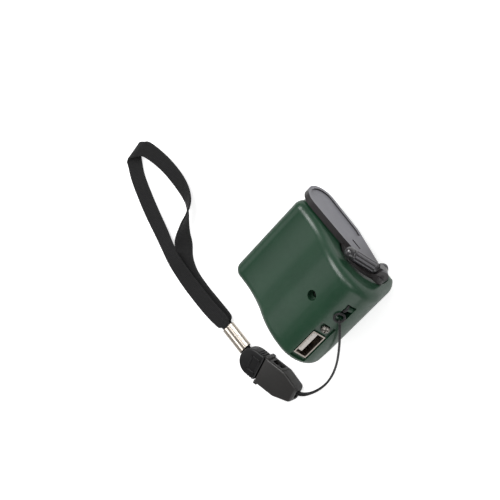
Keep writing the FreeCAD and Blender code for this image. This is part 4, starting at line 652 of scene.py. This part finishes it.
def make_buckle_socket():
    """The buckle's hollow half: a tapering body with two ears, a window in each side for the
    prongs, a thumb rib by each window and a bore in the tail for the cord."""
    mesh = bmesh.new()
    prism(mesh, SOCKET_OUTLINE, 0.0, BUCKLE_HIGH, SOCKET_ROUNDING, EDGE_SEGMENTS)
    body = finished(mesh, "buckle_socket_body")
    mesh = reopened(carved(body, [block(name, *sizes) for name, sizes in SOCKET_HOLLOWS.items()]))
    for side in (-1, 1):
        side_block(mesh, side, *SOCKET_EAR)
        side_block(mesh, side, *THUMB_RIB)
    bmesh.ops.transform(mesh, matrix=BUCKLE, verts=mesh.verts[:])
    return add("buckle_socket_shell", finished(mesh, "buckle_socket_shell"), BUCKLE_ACETAL,
               "buckle_black", "buckle_socket")


def make_buckle_plug():
    """The buckle's pronged half: a round head with a raised frame, grip ribs on its sides,
    the strap's mouth at the back, and two sprung prongs with round barbs."""
    mesh = bmesh.new()
    outline = []
    for step in range(HEAD_STEPS + 1):
        turn = math.radians(90 + 180 * step / HEAD_STEPS)
        outline.append((HEAD_CENTRE + HEAD_RADIUS * math.cos(turn), HEAD_RADIUS * math.sin(turn)))
    outline += [(HEAD_FRONT, -HEAD_RADIUS), (HEAD_FRONT, HEAD_RADIUS)]
    prism(mesh, outline, *HEAD_LEVELS, HEAD_ROUNDING, EDGE_SEGMENTS)
    body = finished(mesh, "buckle_plug_head")
    mesh = reopened(carved(body, [block("plug_mouth", *PLUG_MOUTH)]))
    for x, y in FRAME_BARS:
        box(mesh, x, y, FRAME_LEVELS, FRAME_ROUNDING)
    for side in (-1, 1):
        for rib in GRIP_RIBS:
            side_block(mesh, side, *rib)
        side_block(mesh, side, *PLUG_PRONG)
        barb = Vector((BARB_AT[0], side * BARB_AT[1], BUCKLE_HIGH / 2)) * MM
        bmesh.ops.create_cone(
            mesh, cap_ends=True, segments=BARB_SIDES, radius1=BARB_RADIUS * MM,
            radius2=BARB_RADIUS * MM, depth=BARB_HIGH * MM, matrix=Matrix.Translation(barb))
    box(mesh, *PLUG_TONGUE)
    bmesh.ops.transform(mesh, matrix=BUCKLE, verts=mesh.verts[:])
    return add("buckle_plug_prongs", finished(mesh, "buckle_plug_prongs"), PLUG_ACETAL,
               "buckle_black", "buckle_plug")


def make_lanyard():
    """The doubled cord: out from the knot, round in the buckle's tail and back."""
    knot = make_knot()
    socket = make_buckle_socket()
    make_buckle_plug()
    curve = cord_curve("lanyard_cord_braid", CORD_ROUTE, CORD_DIAMETER / 2)
    piece = add("lanyard_cord_braid", curve, CORD_BRAID, "cord_black", "lanyard_cord")


make_lanyard()

# --- ferrule, in millimetres and shares -------------------------------------------
FERRULE_START = -17.0
FERRULE_Y = -58.4
FERRULE_Z = 3.1
FERRULE_HALF_WIDE = 3.4
FERRULE_HALF_HIGH = 2.15
FERRULE_RINGS = 6
FERRULE_RING_LONG = 2.1
FERRULE_WALL = 0.35
FERRULE_SIDES = 128
FERRULE_SMOOTH_BELOW = 50.0
CRIMP_DEPTH = 0.24      # share of the height that the crimp presses in
CRIMP_WIDE = 0.16       # share of the half width over which it fades
FERRULE_FLUTES = 18
FLUTE_DEPTH = 0.014     # share of the radius


def make_ferrule():
    """A tube of thin metal crimped to two lobes, with fine flutes pressed along it."""
    mesh = bmesh.new()
    ring = []
    for step in range(FERRULE_SIDES):
        turn = 2 * math.pi * step / FERRULE_SIDES
        side, rise = math.cos(turn), math.sin(turn)
        waist = 1 - CRIMP_DEPTH * math.exp(-(side / CRIMP_WIDE) ** 2)
        flute = 1 - FLUTE_DEPTH * math.cos(FERRULE_FLUTES * turn)
        ring.append(mesh.verts.new(Vector((
            FERRULE_START, FERRULE_Y + FERRULE_HALF_WIDE * flute * side,
            FERRULE_Z + FERRULE_HALF_HIGH * waist * flute * rise)) * MM))
    edges = [mesh.edges.new(pair) for pair in zip(ring, ring[1:] + ring[:1])]
    for _ in range(FERRULE_RINGS):
        made = bmesh.ops.extrude_edge_only(mesh, edges=edges)["geom"]
        verts = {item for item in made if isinstance(item, bmesh.types.BMVert)}
        edges = [item for item in made if isinstance(item, bmesh.types.BMEdge)
                 and verts.issuperset(item.verts)]
        bmesh.ops.translate(mesh, verts=list(verts), vec=(FERRULE_RING_LONG * MM, 0, 0))
    bmesh.ops.recalc_face_normals(mesh, faces=mesh.faces[:])
    bmesh.ops.solidify(mesh, geom=mesh.faces[:], thickness=FERRULE_WALL * MM)
    return add("ferrule_tube", finished(mesh, "ferrule_tube", FERRULE_SMOOTH_BELOW),
               FERRULE_NICKEL, "ferrule_metal", "ferrule")


make_ferrule()

# --- handle's sleeve, in millimetres ------------------------------------------------
GRIP_BORE = 1.15
# stations along the sleeve: distance from the hinge, radius, depth of the flutes
GRIP_STATIONS = [(3.4, 2.2, 0.0), (3.6, 2.4, 0.0), (4.4, 2.4, 0.0), (4.7, 2.4, 0.5),
                 (13.9, 2.4, 0.5), (14.2, 2.4, 0.0), (15.0, 2.4, 0.0), (15.2, 2.2, 0.0),
                 (15.2, GRIP_BORE, 0.0)]
GRIP_SIDES = 128
GRIP_FLUTES = 8
FLUTE_NARROWS = 1.5     # above 1 the flutes are narrower than the crowns
COLLAR_LIGHT = 0.45    # how light the plain collars are painted, between flute and crown


def make_grip():
    """The handle's turning sleeve: round flutes between two plain collars, about a bore."""
    spin = next(joint for joint in frame["joints"] if joint["name"] == "grip_spin")
    along = Vector(spin["axis"]).to_track_quat("Z", "Y").to_matrix().to_4x4()
    mesh = bmesh.new()
    crown_light = mesh.verts.layers.float.new("crown_light")
    verts = bmesh.ops.create_circle(mesh, segments=GRIP_SIDES, radius=GRIP_BORE * MM)["verts"]
    bmesh.ops.translate(mesh, verts=verts, vec=(0, 0, GRIP_STATIONS[0][0] * MM))
    first = mesh.edges[:]
    edges = first
    for distance, radius, depth in GRIP_STATIONS:
        made = bmesh.ops.extrude_edge_only(mesh, edges=edges)["geom"]
        verts = {item for item in made if isinstance(item, bmesh.types.BMVert)}
        edges = [item for item in made if isinstance(item, bmesh.types.BMEdge)
                 and verts.issuperset(item.verts)]
        for vert in verts:
            turn = math.atan2(vert.co.y, vert.co.x)
            valley = (0.5 + 0.5 * math.cos(GRIP_FLUTES * turn)) ** FLUTE_NARROWS
            reach = radius - depth * valley
            vert.co = Vector((reach * math.cos(turn), reach * math.sin(turn), distance)) * MM
            # painted highlight on the crowns, painted shade in the flutes
            vert[crown_light] = 1 - valley if depth else COLLAR_LIGHT
    bmesh.ops.bridge_loops(mesh, edges=first + edges)
    bmesh.ops.transform(mesh, matrix=Matrix.Translation(Vector(spin["pos_m"])) @ along,
                        verts=mesh.verts[:])
    return add("handle_grip_sleeve", finished(mesh, "handle_grip_sleeve"), GRIP_NYLON,
               "handle_grey", "handle_grip", body="grip")


make_grip()

# --- port screw, in the rounded end's millimetres -------------------------------------
# half its section: distance from the axis and height
SCREW_SECTION = [(0.0, -4.0), (0.75, -4.0), (1.0, -3.6), (1.0, RECESS_FLOOR), (2.0, RECESS_FLOOR),
                 (2.0, RECESS_FLOOR + 0.7), (1.75, RECESS_FLOOR + 1.2),
                 (1.2, RECESS_FLOOR + 1.45), (0.0, RECESS_FLOOR + 1.5)]
SCREW_STEPS = 40
SCREW_SPOT = (0.2, -1.8, 0)
SCREW_TURN = 0.35
CROSS_REACH = 1.35
CROSS_HALF_WIDE = 0.3
CROSS_LEVELS = (RECESS_FLOOR + 0.5, RECESS_FLOOR + 2.5)


def make_port_screw():
    """The pan-headed screw beside the port, with a cross pressed into its head."""
    mesh = bmesh.new()
    line = [mesh.verts.new(Vector((radius, 0, high)) * MM) for radius, high in SCREW_SECTION]
    edges = [mesh.edges.new(pair) for pair in zip(line, line[1:])]
    bmesh.ops.spin(mesh, geom=line + edges, cent=(0, 0, 0), axis=(0, 0, 1), angle=2 * math.pi,
                   steps=SCREW_STEPS, use_merge=True)
    bmesh.ops.remove_doubles(mesh, verts=mesh.verts[:], dist=SAME_SPOT)
    body = finished(mesh, "port_screw_turned")
    mesh = bmesh.new()
    far, near = CROSS_REACH, CROSS_HALF_WIDE
    cross = [(far, near), (near, near), (near, far), (-near, far), (-near, near), (-far, near),
             (-far, -near), (-near, -near), (-near, -far), (near, -far), (near, -near),
             (far, -near)]
    prism(mesh, cross, *CROSS_LEVELS)
    mesh = reopened(carved(body, [finished(mesh, "cross_recess")]))
    spot = Matrix.Translation(Vector(SCREW_SPOT) * MM) @ Matrix.Rotation(SCREW_TURN, 4, "Z")
    bmesh.ops.transform(mesh, matrix=PORT @ spot, verts=mesh.verts[:])
    return add("port_screw_cross", finished(mesh, "port_screw_cross"), SCREW_STEEL, "steel",
               "port_screw")


make_port_screw()

# --- wrist strap -------------------------------------------------------------
STRAP_THICK = 0.9 * MM
STRAP_WIDTH = 8.2 * MM
STRAP_SMOOTH_BELOW = 70.0
STEPS_PER_STATION = 6
# stations: x, y, z, then the width's bearing, tilt and size, as in the solid
STRAP = [
    (-0.6, -59.2, 4.2, 96, 0, 5.6), (-5.0, -58.4, 3.9, 90, 0, 4.6), (-17.4, -58.4, 3.9, 90, 0, 4.6),
    (-20.5, -59.0, 3.5, 90, 0, 7.6), (-30.0, -60.6, 2.5, 90, 0, 8.2),
    (-43.0, -60.9, 2.2, 88, 0, 8.2), (-51.0, -60.2, 2.7, 85, 4, 8.2),
    (-57.5, -59.0, 3.4, 82, 8, 8.2), (-64.0, -57.6, 3.0, 80, 8, 8.2),
    (-71.0, -56.2, 2.0, 80, 4, 8.2), (-84.0, -53.3, 1.0, 75, 0, 8.2),
    (-97.0, -48.8, 0.8, 67, 0, 8.2), (-103.6, -44.9, 0.9, 66, 0, 8.6),
    (-107.3, -40.6, 2.4, 92, 0, 10.6), (-105.2, -36.4, 4.2, 97, 0, 9.6),
    (-101.6, -33.0, 4.0, 97, 4, 8.4), (-90.4, -30.8, 3.4, 86, 8, 8.2),
    (-79.0, -30.8, 3.6, 80, 14, 8.2), (-71.2, -32.8, 4.2, 66, 34, 8.2),
    (-67.2, -36.8, 4.8, 46, 60, 8.2), (-65.0, -40.8, 4.9, 42, 80, 8.2),
    (-62.0, -45.6, 4.6, 42, 106, 8.2), (-58.6, -50.6, 2.8, 52, 148, 8.2),
    (-54.0, -55.4, 1.2, 66, 172, 8.2), (-47.0, -58.2, 0.8, 80, 180, 8.2),
    (-38.0, -59.0, 0.7, 88, 180, 8.2), (-30.0, -58.8, 0.8, 90, 180, 8.2),
    (-20.5, -58.0, 1.6, 90, 180, 7.6), (-17.4, -58.4, 2.3, 90, 180, 4.6),
    (-5.0, -58.4, 2.3, 90, 180, 4.6), (-0.6, -59.2, 2.4, 96, 180, 5.6)]
# the tape's section, thick at its selvedges: share of the half width, share of the half thickness
TAPE_SECTION = [(-0.97, 0.55), (-0.9, 1.0), (-0.78, 0.88), (-0.4, 0.84), (0.0, 0.84), (0.4, 0.84),
                (0.78, 0.88), (0.9, 1.0), (0.97, 0.55), (1.0, 0.0), (0.97, -0.55), (0.9, -1.0),
                (0.78, -0.88), (0.4, -0.84), (0.0, -0.84), (-0.4, -0.84), (-0.78, -0.88),
                (-0.9, -1.0), (-0.97, -0.55), (-1.0, 0.0)]


def smooth_between(stations, steps):
    """Catmull-Rom samples of rows of numbers."""
    rows = [stations[0]] + list(stations) + [stations[-1]]
    samples = []
    for index in range(1, len(rows) - 2):
        before, here, after, later = rows[index - 1:index + 3]
        for step in range(steps):
            t = step / steps
            samples.append(tuple(
                0.5 * (2 * b + (c - a) * t + (2 * a - 5 * b + 4 * c - d) * t * t
                       + (3 * b - a - 3 * c + d) * t ** 3)
                for a, b, c, d in zip(before, here, after, later)))
    samples.append(tuple(stations[-1]))
    return samples


def tape_ring(mesh, centre, heading, bearing, tilt, width):
    """The tape's section at one place, turned across its heading."""
    level = Vector((math.cos(bearing), math.sin(bearing), 0))
    across = level * math.cos(tilt) + Vector((0, 0, math.sin(tilt)))
    normal = across.cross(heading).normalized()
    return [mesh.verts.new(centre + across * (side * width / 2)
                           + normal * (rise * STRAP_THICK / 2)) for side, rise in TAPE_SECTION]


def make_strap():
    """The woven tape as one ribbon with round selvedges; its UV holds metres along and across."""
    samples = smooth_between(STRAP, STEPS_PER_STATION)
    centres = from_mm([row[:3] for row in samples])
    mesh = bmesh.new()
    layer = mesh.loops.layers.uv.new("tape")
    rings = []
    travelled = [0.0]
    for index, row in enumerate(samples):
        heading = centres[min(index + 1, len(centres) - 1)] - centres[max(index - 1, 0)]
        rings.append(tape_ring(mesh, centres[index], heading, math.radians(row[3]),
                               math.radians(row[4]), row[5] * MM))
        if index:
            travelled.append(travelled[-1] + (centres[index] - centres[index - 1]).length)
    count = len(TAPE_SECTION)
    for index in range(len(rings) - 1):
        for corner in range(count):
            following = (corner + 1) % count
            corners = ((index, corner), (index + 1, corner), (index + 1, following),
                       (index, following))
            face = mesh.faces.new([rings[ring][place] for ring, place in corners])
            for loop, (ring, place) in zip(face.loops, corners):
                loop[layer].uv = (travelled[ring], TAPE_SECTION[place][0] * STRAP_WIDTH / 2)
    mesh.faces.new(list(reversed(rings[0])))
    mesh.faces.new(rings[-1])
    piece = add("wrist_strap_tape", finished(mesh, "wrist_strap_tape", STRAP_SMOOTH_BELOW),
                TAPE_CLOTH, "strap_black", "wrist_strap")


make_strap()

# --- floor, light and world ----------------------------------------------------
FLOOR_HALF_SIZE = 2.5
FLOOR_GAP = 0.0002
FLOOR_LIFT = 0.6        # what the camera alone sees added to the card, up to white
LIGHT_AIM = (0, 0, 0.02)
# softboxes: name, place, size across in metres and power in watts
SOFTBOXES = [
    ("key", (-0.45, 0.35, 0.7), 0.5, 5.0),
    ("fill", (0.7, -0.3, 0.5), 0.8, 2.0),
    ("side", (0.14, 0.56, 0.78), 0.42, 1.5),
    ("top", (-0.5, -0.38, 0.6), 0.55, 0.6),
]
ROOM_LIGHT = 0.42
# what glossy surfaces see of the room: dimmer from one height to the other
ROOM_HEIGHTS = (0.25, 0.8)
ROOM_MIRRORED = (0.62, 0.3)


def make_floor():
    """A white sweep of card: the camera sees it lifted to white, and it keeps a faint shadow."""
    mesh = bmesh.new()
    bmesh.ops.create_grid(mesh, x_segments=1, y_segments=1, size=FLOOR_HALF_SIZE)
    data = bpy.data.meshes.new("floor")
    mesh.to_mesh(data)
    mesh.free()
    floor = bpy.data.objects.new("floor", data)
    floor.location.z = CAD_LOW.z - FLOOR_GAP
    SCENE.collection.objects.link(floor)
    material, tree, shader, place = new_material("pressed_white_card", {
        "Roughness": 0.8, "Emission Color": linear("#ffffff")})
    fibre = add_node(tree, "ShaderNodeTexNoise", {"Scale": spots(CARD_FIBRE)},
                     {"Vector": place["Object"]})
    tint = add_node(tree, "ShaderNodeMix", {
        "data_type": "RGBA", 6: linear("#e8e8e8"), 7: linear("#eeeeee")}, {0: fibre.outputs["Fac"]})
    seen = add_node(tree, "ShaderNodeLightPath")
    lift = add_node(tree, "ShaderNodeMath", {"operation": "MULTIPLY", 1: FLOOR_LIFT},
                    {0: seen.outputs["Is Camera Ray"]})
    feed(tree, shader, {"Base Color": tint.outputs[2], "Emission Strength": lift.outputs["Value"]})
    data.materials.append(material)


def make_softboxes():
    """Round softboxes, each turned to the object."""
    for name, spot, size, power in SOFTBOXES:
        light = bpy.data.lights.new(name, "AREA")
        light.shape = "DISK"
        light.size = size
        light.energy = power
        lamp = bpy.data.objects.new(name, light)
        lamp.location = spot
        aim = Vector(LIGHT_AIM) - Vector(spot)
        lamp.rotation_euler = aim.to_track_quat("-Z", "Y").to_euler()
        SCENE.collection.objects.link(lamp)


def make_room():
    """A white room, even all round, but dim overhead in reflections; the camera sees it white."""
    world = bpy.data.worlds.new("studio")
    world.use_nodes = True
    tree = world.node_tree
    background = tree.nodes["Background"]
    place = add_node(tree, "ShaderNodeTexCoord").outputs["Generated"]
    height = add_node(tree, "ShaderNodeSeparateXYZ", {}, {"Vector": place})
    dim = add_node(tree, "ShaderNodeMapRange", {
        "interpolation_type": "SMOOTHSTEP", "From Min": ROOM_HEIGHTS[0],
        "From Max": ROOM_HEIGHTS[1], "To Min": ROOM_MIRRORED[0], "To Max": ROOM_MIRRORED[1]},
        {"Value": height.outputs["Z"]})
    seen = add_node(tree, "ShaderNodeLightPath")
    mirrored = add_node(tree, "ShaderNodeMix", {2: 1.0},
                        {0: seen.outputs["Is Glossy Ray"], 3: dim.outputs["Result"]})
    level = add_node(tree, "ShaderNodeMath", {"operation": "MULTIPLY", 1: ROOM_LIGHT},
                     {0: mirrored.outputs[0]})
    shown = add_node(tree, "ShaderNodeMath", {"operation": "MAXIMUM"},
                     {0: level.outputs["Value"], 1: seen.outputs["Is Camera Ray"]})
    background.inputs["Color"].default_value = linear("#ffffff")
    tree.links.new(shown.outputs["Value"], background.inputs["Strength"])
    SCENE.world = world
    SCENE.view_settings.view_transform = "Standard"


make_floor()
make_softboxes()
make_room()
